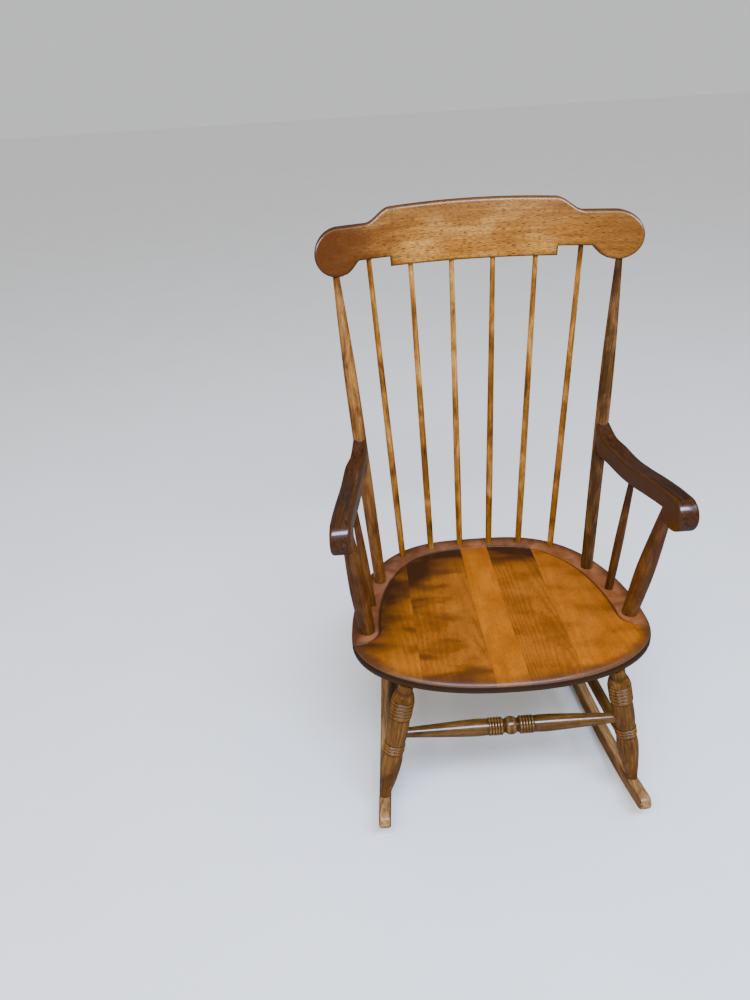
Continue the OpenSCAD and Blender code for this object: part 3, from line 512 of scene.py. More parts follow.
arm_y = [-SCROLL_Y - SCROLL_R * sin(a) for a in np.linspace(pi * 0.48, 0, 16)]
arm_y += [-SCROLL_Y + SCROLL_R * sin(a) for a in np.linspace(0, asin(0.949), 13)[1:]]
arm_y += list(np.linspace(-SCROLL_Y + SCROLL_R * 0.951, REAR, 60))
for side, word in ((-1, "left"), (1, "right")):
    def place_arm(y, z, face, share, side=side):
        inner, outer = read_line(inner_line, y), read_line(outer_line, y)
        return on_deck(side * mix(inner, outer, 0.5 + 0.5 * face * share), y, z)

    eased_board(f"arm_{word}", [arm_column(y) for y in arm_y], 17, ARM_W / 2, 6, place_arm,
                lambda u, v, w, s=side: (v + 60 * s, w, u + 300 * s))
print("arms:", len(pieces["arm_right"].data.vertices), "points each")

# %% [markdown]
# ## Arm posts and arm spindles
# A stout post stands under each scroll and a thin spindle behind it. Both lean out with the arm.

# %% Arm supports
ARM_POST_D, ARM_POST_INSET, ARM_POST_Y = 33, 30.5, -169
ARM_SPINDLE_D, ARM_SPINDLE_INSET, ARM_SPINDLE_Y = 17, 42.5, -84
arm_post_top_y = -SCROLL_Y + SCROLL_R * 1.07
for side, word in ((-1, "left"), (1, "right")):
    foot = mirrored(on_deck(HALF_W - ARM_POST_INSET, ARM_POST_Y, 0), side)
    top = mirrored(on_deck(arm_mid_x(arm_post_top_y) - 4, arm_post_top_y, UNDER_Z + 16), side)
    l = (top - foot).length
    profile = smooth([(-8, ARM_POST_D * 0.85), (0, ARM_POST_D * 0.86), (l * 0.2, ARM_POST_D * 0.95),
                      (l * 0.45, ARM_POST_D), (l * 0.75, ARM_POST_D * 0.8), (l + 6, ARM_POST_D * 0.55)], 8)
    turned(f"arm_post_{word}", foot, top, profile, shift=(12 * side, 3, 880 * side))
    foot = mirrored(on_deck(HALF_W - ARM_SPINDLE_INSET, ARM_SPINDLE_Y, 0), side)
    top = mirrored(on_deck(arm_mid_x(ARM_SPINDLE_Y), ARM_SPINDLE_Y, UNDER_Z), side)
    l = (top - foot).length
    profile = smooth([(-6, ARM_SPINDLE_D * 0.92), (0, ARM_SPINDLE_D * 0.92), (l * 0.45, ARM_SPINDLE_D),
                      (l + 8, ARM_SPINDLE_D * 0.62)], 10)
    turned(f"arm_spindle_{word}", foot, top, profile, sides=28,
           shift=(7 * side, 44, 930 * side))
print("arm supports made, the last spindle is", round(l), "mm long between seat and arm")

# %% [markdown]
# ## The seat blank
# A chairmaker edge-glues five boards, saws the outline, hollows the top and eases the rim.
# Here the whole blank is made once, as rings around the outline that step in from the bevelled
# underside, up the side, over the rounded arris and across the hollow to the middle.
# One blank keeps the hollow and the groove running true through every glue line.

# %% Seat outline and hollow
SEAT_EDGE_T, SEAT_BEVEL = 21, 24
FRONT_SQUARE = 2.25  # 2 gives the front an ellipse, more makes it squarer
DISH_DEEP, ROLL_DEEP = 7.5, 3.0
MIDDLE = (0, -125)


def seat_rim(count):
    """Points around the seat's outline, evenly spaced, with the outward direction at each."""
    quarter = np.linspace(0, pi / 2, 400)
    square = 2 / FRONT_SQUARE
    rear = [(HALF_W * sin(a) ** (2 / 3), (SEAT_REAR + WAIST) * cos(a) - WAIST) for a in quarter]
    fore = [(HALF_W * cos(a) ** square, (WAIST - SEAT_FRONT) * sin(a) ** square - WAIST) for a in quarter[1:]]
    right = rear + fore
    loop = np.array(right + [(-x, y) for x, y in right[-2:0:-1]] + [right[0]])
    run = np.concatenate([[0], np.cumsum(np.sqrt((np.diff(loop, axis=0) ** 2).sum(1)))])
    at = np.linspace(0, run[-1], count, endpoint=False)
    rim = np.column_stack([np.interp(at, run, loop[:, 0]), np.interp(at, run, loop[:, 1])])
    ahead = np.roll(rim, -1, axis=0) - np.roll(rim, 1, axis=0)
    out = np.column_stack([-ahead[:, 1], ahead[:, 0]])
    return rim, out / np.sqrt((out**2).sum(1))[:, None]


def hollow(x, y):
    """Height of the carved top: a soft bowl, and a slow fall to the front edge."""
    r2 = (x / 225) ** 2 + ((y + 140) / 205) ** 2
    bowl = DISH_DEEP * max(1 - r2, 0) ** 1.6
    roll = ROLL_DEEP * ease((-y - SEAT_FRONT + 75) / 75)
    return -bowl - roll


def arris(y):
    """Radius of the rounded top edge: bold at the front, small at the rear."""
    return mix(13, 6, ease((y + 280) / 240))


rim, out = seat_rim(360)
print("seat outline:", len(rim), "points,", rim.min(0).round(1), "to", rim.max(0).round(1))

# %% [markdown]
# ## The blank's rings
# Eight rings step from the flat underside out over the bevel and up the side. Nine more turn the arris,
# and the rest shrink towards the middle, each point lying at the height of the hollow under it.

# %% Seat blank
def seat_blank():
    rings = []
    under = ((60, -SEAT_T), (27, -SEAT_T), (SEAT_BEVEL, -SEAT_T + 0.5), (SEAT_BEVEL - 2, -SEAT_T + 1.7),
             (12, -29), (2.4, -SEAT_EDGE_T - 1.6), (0.8, -SEAT_EDGE_T - 0.2), (0, -SEAT_EDGE_T + 1.6))
    for inset, z in under:
        rings.append([(p[0] - o[0] * inset, p[1] - o[1] * inset, z) for p, o in zip(rim, out)])
    for a in np.linspace(0, pi / 2, 9):
        ring = []
        for p, o in zip(rim, out):
            r = arris(p[1])
            x, y = p - o * r * (1 - cos(a))
            ring.append((x, y, r * sin(a) - r + hollow(x, y)))
        rings.append(ring)
    last = rings[-1]
    for t in np.linspace(1, 0, 58)[1:-1]:
        flat = [(mix(MIDDLE[0], x, t), mix(MIDDLE[1], y, t)) for x, y, _ in last]
        rings.append([(x, y, hollow(x, y)) for x, y in flat])
    n = len(rim)
    points = [p for ring in rings for p in ring]
    faces = [
        (r * n + k, r * n + (k + 1) % n, (r + 1) * n + (k + 1) % n, (r + 1) * n + k)
        for r in range(len(rings) - 1)
        for k in range(n)
    ]
    points += [(*MIDDLE, hollow(*MIDDLE)), (*MIDDLE, -SEAT_T)]
    top_middle, under_middle, base = len(points) - 2, len(points) - 1, (len(rings) - 1) * n
    faces += [(base + k, base + (k + 1) % n, top_middle) for k in range(n)]
    faces += [((k + 1) % n, k, under_middle) for k in range(n)]
    mesh = bpy.data.meshes.new("seat_blank")
    mesh.from_pydata(points, [], faces)
    bm = bmesh.new()
    bm.from_mesh(mesh)
    bmesh.ops.recalc_face_normals(bm, faces=bm.faces)
    bm.to_mesh(mesh)
    bm.free()
    return mesh


blank = seat_blank()
print("blank:", len(blank.polygons), "faces")

# %% [markdown]
# ## The gouged groove
# A groove follows the rear rim, turns at the front of the spindle deck and runs out at both sides.
# It is cut with a round gouge, so here a long tube is swept along the line and taken away with an
# exact boolean. A bump map would be cheaper, but it could not notch the rim where the groove runs out.

# %% Groove
GROOVE_IN, GROOVE_CORNER, GROOVE_R = 2, 36, 2.4
DECK_SIDE_W, DECK_REAR_W, GROOVE_END = 52, 43, 36
GROOVE_Y = ARM_POST_Y - GROOVE_END + GROOVE_CORNER
GROOVE_W = HALF_W - DECK_SIDE_W - GROOVE_IN
GROOVE_REACH = SEAT_REAR - DECK_REAR_W - GROOVE_IN - GROOVE_Y
corner = GROOVE_CORNER + GROOVE_IN
sweep, turn = np.linspace(0, pi / 2, 300), np.linspace(0, pi / 2, 40)[1:]
half_line = [(GROOVE_W * sin(a) ** (2 / 3), GROOVE_REACH * cos(a) + GROOVE_Y) for a in sweep]
half_line += [(GROOVE_W + corner * (1 - cos(a)), GROOVE_Y - corner * sin(a)) for a in turn]
half_line += [(HALF_W + 12, GROOVE_Y - corner)]
groove_line = np.array([(-x, y) for x, y in half_line[:0:-1]] + half_line)
rim_tree = kdtree.KDTree(len(rim))
for i, p in enumerate(rim):
    rim_tree.insert((*p, 0), i)
rim_tree.balance()


def rim_inset(x, y):
    """How far a point is inside the outline, measured square to it."""
    _, i, _ = rim_tree.find((x, y, 0))
    return float(np.dot(rim[i] - (x, y), out[i]))


print("groove:", len(groove_line), "points,", round(GROOVE_W * 2), "mm wide")

# %% [markdown]
# ## Cutting the groove
# The gouge follows the top's height and dips with it over the rounded rim. Its middle rides a little
# above the wood, so it bites less than its full radius, as a gouge does.

# %% Gouge and cut
TUBE_SIDES = 14


def groove_tube():
    run = np.concatenate([[0], np.cumsum(np.sqrt((np.diff(groove_line, axis=0) ** 2).sum(1)))])
    at = np.linspace(0, run[-1], 420)
    path = np.column_stack([np.interp(at, run, groove_line[:, 0]), np.interp(at, run, groove_line[:, 1])])
    ahead = np.gradient(path, axis=0)
    ahead /= np.sqrt((ahead**2).sum(1))[:, None]
    bm = bmesh.new()
    rows = []
    for (x, y), (dx, dy) in zip(path, ahead):
        r = arris(y)
        fall = min(max(r - rim_inset(x, y), 0), r)
        z = hollow(x, y) - r + sqrt(r * r - fall * fall) + 0.35
        across = [(GROOVE_R * cos(a), GROOVE_R * sin(a)) for a in np.linspace(0, 2 * pi, TUBE_SIDES + 1)[:-1]]
        rows.append([bm.verts.new((x - dy * c, y + dx * c, z + h)) for c, h in across])
    for a, b in zip(rows, rows[1:]):
        for k in range(TUBE_SIDES):
            bm.faces.new((a[k], a[(k + 1) % TUBE_SIDES], b[(k + 1) % TUBE_SIDES], b[k]))
    bm.faces.new(rows[0])
    bm.faces.new(rows[-1])
    bmesh.ops.recalc_face_normals(bm, faces=bm.faces)
    mesh = bpy.data.meshes.new("gouge")
    bm.to_mesh(mesh)
    bm.free()
    return mesh


blank_object = bpy.data.objects.new("seat_blank", blank)
gouge_object = bpy.data.objects.new("gouge", groove_tube())
for o in (blank_object, gouge_object):
    bpy.context.collection.objects.link(o)
cut = blank_object.modifiers.new("groove", "BOOLEAN")
cut.operation, cut.solver, cut.object = "DIFFERENCE", "EXACT", gouge_object
bpy.context.view_layer.update()
grooved = bpy.data.meshes.new_from_object(blank_object.evaluated_get(bpy.context.evaluated_depsgraph_get()))
for o in (blank_object, gouge_object):
    bpy.data.objects.remove(o)
print("grooved blank:", len(grooved.polygons), "faces")

# %% [markdown]
# ## Five boards
# The blank is cut at the four glue lines. Each board keeps two more values for its finish:
# `rim` runs up the side and in over the top, in millimetres, with 0 at the outline,
# and `groove` is the distance to the groove, negative on the deck behind it.

# %% Seat boards
SEAMS = (-158, -34, 24, 118)


def inside_groove(x, y):
    x, v = abs(x), y - GROOVE_Y
    if v >= 0:
        return (x / GROOVE_W) ** 3 + (v / GROOVE_REACH) ** 2 < 1
    if v > -corner:
        return x < GROOVE_W + corner * (1 - sqrt(1 - (v / corner) ** 2))
    return True


line_tree = kdtree.KDTree(len(groove_line) * 2)
dense = np.concatenate([groove_line, (groove_line[:-1] + groove_line[1:]) / 2])
for i, p in enumerate(dense):
    line_tree.insert((*p, 0), i)
line_tree.balance()


def seat_board(number, low, high):
    bm = bmesh.new()
    bm.from_mesh(grooved)
    for x, keep in ((low, 1), (high, -1)):
        if abs(x) < HALF_W:
            geom = bm.verts[:] + bm.edges[:] + bm.faces[:]
            cut = bmesh.ops.bisect_plane(
                bm, geom=geom, plane_co=(x, 0, 0), plane_no=(keep, 0, 0), clear_inner=True,
            )
            sawn = [e for e in cut["geom_cut"] if isinstance(e, bmesh.types.BMEdge)]
            bmesh.ops.contextual_create(bm, geom=sawn)
    raw = [tuple(v.co) for v in bm.verts]
    faces = [tuple(v.index for v in f.verts) for f in bm.faces]
    bm.free()
    grain, edge, rim_value, groove_value = [], [], [], []
    for x, y, z in raw:
        inset = max(rim_inset(x, y), 0)
        drop = hollow(x, y) - z
        grain.append(((x + 140 * number) * MM, z * MM, y * MM))
        on_top = drop < 6 or inset > arris(y) and drop < 12
        under_by = drop + (inset if drop > 20 else 0)
        rim_value.append(inset if on_top else -under_by)
        edge.append(max(0.0, 1 - abs(inset - arris(y) * 0.35) / (arris(y) * 0.5)) if drop < 8 else 0)
        _, _, d = line_tree.find((x, y, 0))
        groove_value.append(d if inside_groove(x, y) else -d)
    name = f"seat_board_{number}"
    points = [on_deck(*p) * MM for p in raw]
    piece = wooden_piece(name + "_plank", points, faces, grain, edge, name, sharp=38)
    for key, values in (("rim", rim_value), ("groove", groove_value)):
        keep_value(piece.data, key, values)
    pieces[name] = piece


edges = (-HALF_W, *SEAMS, HALF_W)
for i in range(5):
    seat_board(i + 1, edges[i], edges[i + 1])
print("boards:", [len(pieces[f"seat_board_{i}"].data.polygons) for i in range(1, 6)], "faces")

# %% [markdown]
# ## Node helper and colours
# One small function adds a node, sets it up and links it, so a material reads as a list of steps.
# Its `stops` are the places and colours of a colour ramp.
# Colours are written as sRGB hex values, as a paint chart gives them, and turned to linear light once.

# %% Node helper
def linear(hex_colour):
    parts = [int(hex_colour[i : i + 2], 16) / 255 for i in (1, 3, 5)]
    return (*[c / 12.92 if c <= 0.04045 else ((c + 0.055) / 1.055) ** 2.4 for c in parts], 1)


def add(tree, kind, inputs=(), out=0, stops=(), **settings):
    """Adds a node, sets its properties, its inputs (values or other nodes' outputs) and any colour stops."""
    node = tree.nodes.new(kind)
    for key, value in settings.items():
        setattr(node, key, value)
    for key, value in dict(inputs).items():
        if isinstance(value, bpy.types.NodeSocket):
            tree.links.new(value, node.inputs[key])
        else:
            node.inputs[key].default_value = value
    while stops and len(node.color_ramp.elements) < len(stops):
        node.color_ramp.elements.new(0.5)
    for i, (place, _) in enumerate(stops):
        node.color_ramp.elements[i].position = place
    for i, (_, value) in enumerate(stops):
        colour = linear(value) if isinstance(value, str) else (value, value, value, 1)
        node.color_ramp.elements[i].color = colour
    return node.outputs[out]


print("amber in linear light:", [round(c, 3) for c in linear("#b87420")[:3]])

# %% [markdown]
# ## Toned maple
# Hard maple is pale and close-grained: growth rings about 3 mm apart, seen as soft stripes or arches,
# and short fine flecks, under 1 mm wide and some 10 mm long. The colour is in the sprayed lacquer, which
# blotches softly over 30 to 80 mm. Lacquer has an IOR near 1.5 and dries semi-gloss, about 0.35 rough,
# and under it the grain is just felt. A wood texture image would tile. Here rings are a real
# three-dimensional figure, so every cut through a board shows the right pattern.

# %% Toned maple recipe
WAVE_PER_RING = 0.314  # a wave texture at scale 1 draws a ring every pi / 10 units


def toned_maple(name, tones, ring_mm=3.2, pith=(0.02, -0.05, 0), lean=(0.03, 0.05, 0),
                figure=0.5, streak=0.9, blotch=0.5, cloud_mm=(35, 80), fleck=0.35,
                valley_shade_tone=("#5a3a22", 0.4), proud_tone=("#c99a58", 0.3), rough=0.36, coat=0.35, shade=None):
    """tones: dark, middle and light hex colours of the lacquered wood.
    shade: a function for one piece's own colouring, given the colour so far and the patterns under it."""
    material = bpy.data.materials.new(name)
    material.use_nodes = True
    tree = material.node_tree
    tree.nodes.clear()
    grain = add(tree, "ShaderNodeAttribute", attribute_name="grain", out=1)
    # Rings round a pith that lies outside the board and is not quite parallel to it.
    placed = add(tree, "ShaderNodeMapping", {0: grain, 1: pith, 2: lean})
    rings = add(
        tree,
        "ShaderNodeTexWave",
        {0: placed, "Scale": WAVE_PER_RING / (ring_mm * MM), "Distortion": 5.0,
         "Detail": 3.0, "Detail Scale": 0.12, "Detail Roughness": 0.6},
        1, wave_type="RINGS", rings_direction="Z", wave_profile="SIN",
    )
    # Streaks: 4 mm wide and 90 mm long.
    long_way = add(tree, "ShaderNodeMapping", {0: grain, 3: (250, 250, 11)})
    streaky = {0: long_way, "Scale": 1.0, "Detail": 4.0, "Roughness": 0.62, "Distortion": 0.4}
    streaks = add(tree, "ShaderNodeTexNoise", streaky)
    # Lacquer blotches, 35 mm across the fibres and 80 mm along them unless the piece says otherwise.
    across, along = (1 / (v * MM) for v in cloud_mm)
    cloud_place = add(tree, "ShaderNodeMapping", {0: grain, 3: (across, across, along)})
    cloudy = {0: cloud_place, "Scale": 1.0, "Detail": 3.0, "Roughness": 0.55, "Distortion": 0.8}
    clouds = add(tree, "ShaderNodeTexNoise", cloudy)
    # Flecks: 0.8 mm wide and 9 mm long, drawn a little coarser than the wood's own.
    fleck_place = add(tree, "ShaderNodeMapping", {0: grain, 3: (1250, 1250, 110)})
    flecks = add(tree, "ShaderNodeTexNoise", {0: fleck_place, "Scale": 1.0, "Detail": 2.0, "Roughness": 0.5})
    tone = add(tree, "ShaderNodeMath", {0: rings, 1: 0.34 * figure}, operation="MULTIPLY")
    tone = add(tree, "ShaderNodeMath", {0: streaks, 1: streak, 2: tone}, operation="MULTIPLY_ADD")
    tone = add(tree, "ShaderNodeMath", {0: clouds, 1: 1.5 * blotch, 2: tone}, operation="MULTIPLY_ADD")
    middle = 0.17 * figure + 0.5 * streak + 0.75 * blotch
    tone = add(tree, "ShaderNodeMapRange", {0: tone, 1: middle - 0.42, 2: middle + 0.42, 3: 0.0, 4: 1.0})
    colour = add(tree, "ShaderNodeValToRGB", {0: tone}, stops=list(zip((0.0, 0.5, 1.0), tones)))
    pores = add(tree, "ShaderNodeMapRange", {0: flecks, 1: 0.5, 2: 0.64, 3: 0.0, 4: fleck})
    flecked = {0: pores, 6: colour, 7: linear(tones[0])}
    colour = add(tree, "ShaderNodeMix", flecked, 2, data_type="RGBA", blend_type="MULTIPLY")
    # Hands and feet wore the proud edges thin and pale. The valleys between beads get painted shade.
    edge = add(tree, "ShaderNodeAttribute", attribute_name="edge", out=2)
    broken = add(tree, "ShaderNodeMath", {0: streaks, 1: edge}, operation="MULTIPLY")
    worn = add(tree, "ShaderNodeMapRange", {0: broken, 1: 0.3, 2: 0.62, 3: 0.0, 4: proud_tone[1]})
    colour = add(tree, "ShaderNodeMix", {0: worn, 6: colour, 7: linear(proud_tone[0])}, 2, data_type="RGBA")
    # Painted shade in the valleys between beads, where edge is below 0.
    painted_valley_shade = add(tree, "ShaderNodeMapRange", {0: edge, 1: 0.0, 2: -1.0, 3: 0.0, 4: valley_shade_tone[1]})
    colour = add(tree, "ShaderNodeMix", {0: painted_valley_shade, 6: colour, 7: linear(valley_shade_tone[0])}, 2, data_type="RGBA")
    if shade:
        colour = shade(tree, colour, grain, clouds, streaks)
    smudge = add(tree, "ShaderNodeMapRange", {0: clouds, 1: 0.3, 2: 0.7, 3: rough - 0.07, 4: rough + 0.1})
    felt = add(tree, "ShaderNodeMath", {0: flecks, 1: 0.5, 2: streaks}, operation="MULTIPLY_ADD")
    bump = add(tree, "ShaderNodeBump", {"Strength": 0.12, "Distance": 0.0004, "Height": felt})
    wood = {"Base Color": colour, "Roughness": smudge, "Normal": bump, "IOR": 1.5, "Specular IOR Level": 0.25}
    lacquer = {"Coat Weight": coat, "Coat Roughness": 0.14, "Coat IOR": 1.5}
    shader = add(tree, "ShaderNodeBsdfPrincipled", {**wood, **lacquer})
    output = tree.nodes.new("ShaderNodeOutputMaterial")
    tree.links.new(shader, output.inputs[0])
    return material


def dress(names, material):
    for name in names:
        mesh = pieces[name].data
        mesh.materials.clear()
        mesh.materials.append(material)


# %% [markdown]
# ## Finish of the turnings
# The legs are a golden brown with painted shade in the valleys between beads, and paler where the beads stand
# proud.
# The stretchers and arm posts got a heavier coat, and the spindles a thin one that lets the maple glow.
# The two back posts came from different boards, and the right-hand one took the lacquer darker.

# %% Finish of the turnings
# Each valley tone below is painted shade for the valleys between beads.
leg_finish = toned_maple(
    "maple_turned_golden_lacquer", ("#281602", "#5e3808", "#90601c"), figure=0.3, blotch=0.6,
    valley_shade_tone=("#321a08", 0.75), proud_tone=("#a87a3e", 0.25),
)
stretcher_finish = toned_maple(
    "maple_turned_brown_lacquer", ("#2c1a06", "#583810", "#815a24"), figure=0.3, blotch=0.6,
    valley_shade_tone=("#2c1a0c", 0.65), proud_tone=("#a8804a", 0.35), rough=0.3, coat=1.0,
)
spindle_finish = toned_maple(
    "maple_turned_honey_lacquer", ("#3e1e04", "#905812", "#d09444"), figure=0.3, blotch=1.1, fleck=0.4,
)
post_finish = toned_maple(
    "maple_turned_umber_lacquer", ("#2c1606", "#6e4114", "#a87436"), figure=0.3, blotch=1.0,
)
dark_post_finish = toned_maple(
    "maple_turned_deep_umber_lacquer", ("#201006", "#50300f", "#87592a"), figure=0.3, blotch=0.9,
)
arm_post_finish = toned_maple(
    "maple_turned_dark_lacquer", ("#2a1406", "#542f0c", "#7c4c1a"), figure=0.3, blotch=0.7,
)
dress([n for n in pieces if "leg" in n], leg_finish)
dress([n for n in pieces if "stretcher" in n], stretcher_finish)
dress([n for n in pieces if n.startswith("back_spindle")], spindle_finish)
dress(["back_post_left"], post_finish)
dress(["back_post_right"], dark_post_finish)
dress([n for n in pieces if n.startswith("arm_post") or n.startswith("arm_spindle")], arm_post_finish)
print("finishes for", len(pieces), "pieces so far")

# %% [markdown]
# ## Finish of crest, arms and rockers
# The crest is pale in the middle and darker towards its top, its ears and its edges. The arms are the
# darkest, and the rockers are dark on their sides with pale worn tips.

# %% Finish of the bent and sawn pieces
def crest_shade(tree, colour, grain, clouds, streaks):
    """Darker towards the top and the ears, most on the left, and a narrow dark band along every edge."""
    x = add(tree, "ShaderNodeSeparateXYZ", {0: grain}, 2)
    wander = add(tree, "ShaderNodeMath", {0: clouds, 1: 0.16, 2: x}, operation="MULTIPLY_ADD")
    height = add(tree, "ShaderNodeSeparateXYZ", {0: grain}, 0)
    rise = {0: height, 1: 0.635, 2: 0.71, 3: 0.0, 4: 0.4}
    top = add(tree, "ShaderNodeMapRange", rise, interpolation_type="SMOOTHSTEP")
    colour = add(tree, "ShaderNodeMix", {0: top, 6: colour, 7: linear("#6a4018")}, 2, data_type="RGBA")
    for near, far, most, dark in ((0.0, -0.19, 0.93, "#502606"), (0.19, 0.38, 0.6, "#5e3408")):
        fade = {0: wander, 1: near, 2: far, 3: 0.0, 4: most}
        ear = add(tree, "ShaderNodeMapRange", fade, interpolation_type="SMOOTHSTEP")
        colour = add(tree, "ShaderNodeMix", {0: ear, 6: colour, 7: linear(dark)}, 2, data_type="RGBA")
    edge = add(tree, "ShaderNodeAttribute", attribute_name="edge", out=2)
    band = add(tree, "ShaderNodeMapRange", {0: edge, 1: 0.1, 2: 0.9, 3: 0.0, 4: 0.7})
    return add(tree, "ShaderNodeMix", {0: band, 6: colour, 7: linear("#3c2210")}, 2, data_type="RGBA")


def arm_shade(tree, colour, grain, clouds, streaks):
    """The sides are painted lighter and browner than the top, as painted light and shade."""
    across = add(tree, "ShaderNodeSeparateXYZ", {0: grain}, 1)
    across = add(tree, "ShaderNodeMath", {0: across}, operation="ABSOLUTE")
    fade = {0: across, 1: 0.0115, 2: 0.0165, 3: 0.0, 4: 0.7}
    side = add(tree, "ShaderNodeMapRange", fade, interpolation_type="SMOOTHSTEP")
    # Painted light on the sides against painted shade on the top.
    return add(tree, "ShaderNodeMix", {0: side, 6: colour, 7: linear("#4e2a0a")}, 2, data_type="RGBA")


crest_finish = toned_maple(
    "maple_bent_pale_lacquer", ("#5a3206", "#a2661a", "#d49c46"), ring_mm=5, pith=(-0.64, 0.09, 0),
    lean=(0.02, 0.03, 0), figure=0.25, streak=0.7, blotch=0.55, cloud_mm=(60, 120), fleck=0.9,
    proud_tone=("#6a4020", 0.3), coat=0.6, shade=crest_shade,
)
arm_finish = toned_maple(
    "maple_sawn_dark_lacquer", ("#0c0503", "#241006", "#42200a"), ring_mm=4, figure=0.25, blotch=0.6,
    proud_tone=("#6a3a12", 0.35), rough=0.34, coat=1.0, shade=arm_shade,
)
rocker_finish = toned_maple(
    "maple_sawn_worn_lacquer", ("#38200a", "#784c1e", "#a87a46"), ring_mm=4, figure=0.3, blotch=0.7,
    proud_tone=("#c89c68", 0.5),
)
dress(["crest_rail"], crest_finish)
dress(["arm_left", "arm_right"], arm_finish)
dress(["rocker_left", "rocker_right"], rocker_finish)
print("crest, arms and rockers finished")

# %% [markdown]
# ## Finish of the seat
# Every seat board grew differently, so each has its own tones and its own place in the tree.
# Over the boards lies one coat: redder on the deck behind the groove, dark and purplish round the rim.
# Painted shade darkens the groove and the hollow beside it, and a thin pale line along the arris is part wear
# and part painted highlight.

# %% Finish of the seat
def seat_shade(groove_shade, smoke):
    """groove_shade is painted shade on a board beside the groove, where the hollow falls away; smoke lays
    dark bands across it.
    """
    def shade(tree, colour, grain, clouds, streaks):
        rim_mm = add(tree, "ShaderNodeAttribute", attribute_name="rim", out=2)
        groove_mm = add(tree, "ShaderNodeAttribute", attribute_name="groove", out=2)
        # Smoke: soft bands about 90 mm across the boards and 40 mm along them, where lacquer was rubbed dark.
        band_place = add(tree, "ShaderNodeMapping", {0: grain, 3: (11, 20, 24)})
        banded = {0: band_place, "Scale": 1.0, "Detail": 3.0, "Roughness": 0.42, "Distortion": 0.25}
        bands = add(tree, "ShaderNodeTexNoise", banded)
        fade = {0: bands, 1: 0.43, 2: 0.7, 3: 0.0, 4: smoke}
        dark = add(tree, "ShaderNodeMapRange", fade, interpolation_type="SMOOTHSTEP")
        colour = add(tree, "ShaderNodeMix", {0: dark, 6: colour, 7: linear("#542a06")}, 2, data_type="RGBA")
        # Painted shade beside the groove, strongest at it and gone 105 mm into the hollow.
        fade = {0: groove_mm, 1: -10.0, 2: 105.0, 3: groove_shade, 4: 0.0}
        groove_shade_mask = add(tree, "ShaderNodeMapRange", fade, interpolation_type="SMOOTHSTEP")
        groove_shade_mask = add(tree, "ShaderNodeMath", {0: groove_shade_mask, 1: bands}, operation="MULTIPLY")
        colour = add(tree, "ShaderNodeMix", {0: groove_shade_mask, 6: colour, 7: linear("#381c04")}, 2, data_type="RGBA")
        deck = add(tree, "ShaderNodeMapRange", {0: groove_mm, 1: -1.0, 2: -5.0, 3: 0.0, 4: 0.72})
        mottle = add(tree, "ShaderNodeMapRange", {0: clouds, 1: 0.36, 2: 0.62, 3: 0.0, 4: 1.0})
        reds = {0: mottle, 6: linear("#6e3e22"), 7: linear("#9c6240")}
        redder = add(tree, "ShaderNodeMix", reds, 2, data_type="RGBA")
        colour = add(tree, "ShaderNodeMix", {0: deck, 6: colour, 7: redder}, 2, data_type="RGBA")
        # Painted shade in the groove itself, darkest at its middle.
        gouge = add(tree, "ShaderNodeMath", {0: groove_mm}, operation="ABSOLUTE")
        gouge = add(tree, "ShaderNodeMapRange", {0: gouge, 1: 2.6, 2: 1.2, 3: 0.0, 4: 0.85})
        colour = add(tree, "ShaderNodeMix", {0: gouge, 6: colour, 7: linear("#3a2014")}, 2, data_type="RGBA")
        # The rim's coat wanders in and out by some 20 mm.
        wander = add(tree, "ShaderNodeMath", {0: bands, 1: -40.0, 2: rim_mm}, operation="MULTIPLY_ADD")
        fade = {0: wander, 1: -18.0, 2: 8.0, 3: 0.85, 4: 0.0}
        inside = add(tree, "ShaderNodeMapRange", fade, interpolation_type="SMOOTHSTEP")
        colour = add(tree, "ShaderNodeMix", {0: inside, 6: colour, 7: linear("#4a2812")}, 2, data_type="RGBA")
        # In the two ramps, 0 is 60 mm down from the arris and 1 is 40 mm in from it.
        place = add(tree, "ShaderNodeMapRange", {0: rim_mm, 1: -60.0, 2: 40.0})
        cover = add(
            tree, "ShaderNodeValToRGB", {0: place},
            stops=[(0.0, 0.9), (0.59, 0.9), (0.605, 0.55), (0.62, 0.5), (0.645, 0.15), (0.9, 0.0)],
        )
        # The pale stop at the arris is a thin line, part wear and part painted highlight.
        tint = add(
            tree, "ShaderNodeValToRGB", {0: place},
            stops=[(0.3, "#33240c"), (0.42, "#3a2810"), (0.5, "#21150a"),
                   (0.59, "#29190c"), (0.61, "#705442"), (0.64, "#52300f")],
        )
        return add(tree, "ShaderNodeMix", {0: cover, 6: colour, 7: tint}, 2, data_type="RGBA")
    return shade


# Each board: tones, pith, ring spacing in mm, strength of its figure, painted shade beside the groove and
# smoke.
boards = [
    (("#743a06", "#a05a0a", "#c27412"), (0.10, -0.06, 0), 9, 0.3, 1.8, 0.75),
    (("#582a04", "#92500c", "#b86c12"), (-0.2, -0.05, 0), 9, 0.3, 3.1, 0.9),
    (("#803e04", "#a95c02", "#c87a10"), (-0.42, -0.09, 0), 9, 0.3, 0.35, 0.15),
    (("#643204", "#96520a", "#b87012"), (-0.64, -0.035, 0), 6, 0.42, 3.0, 0.45),
    (("#7a3e04", "#a95c08", "#c67812"), (-0.86, -0.07, 0), 9, 0.3, 0.5, 0.4),
]
for number, (tones, pith, ring_mm, figure, groove_shade, smoke) in enumerate(boards, start=1):
    finish = toned_maple(
        f"maple_carved_amber_lacquer_{number}", tones, ring_mm=ring_mm, pith=pith,
        lean=(0.06, 0.05, 0), figure=figure, streak=0.3, blotch=0.35, cloud_mm=(60, 70),
        rough=0.38, coat=0.15, shade=seat_shade(groove_shade, smoke),
    )
    dress([f"seat_board_{number}"], finish)
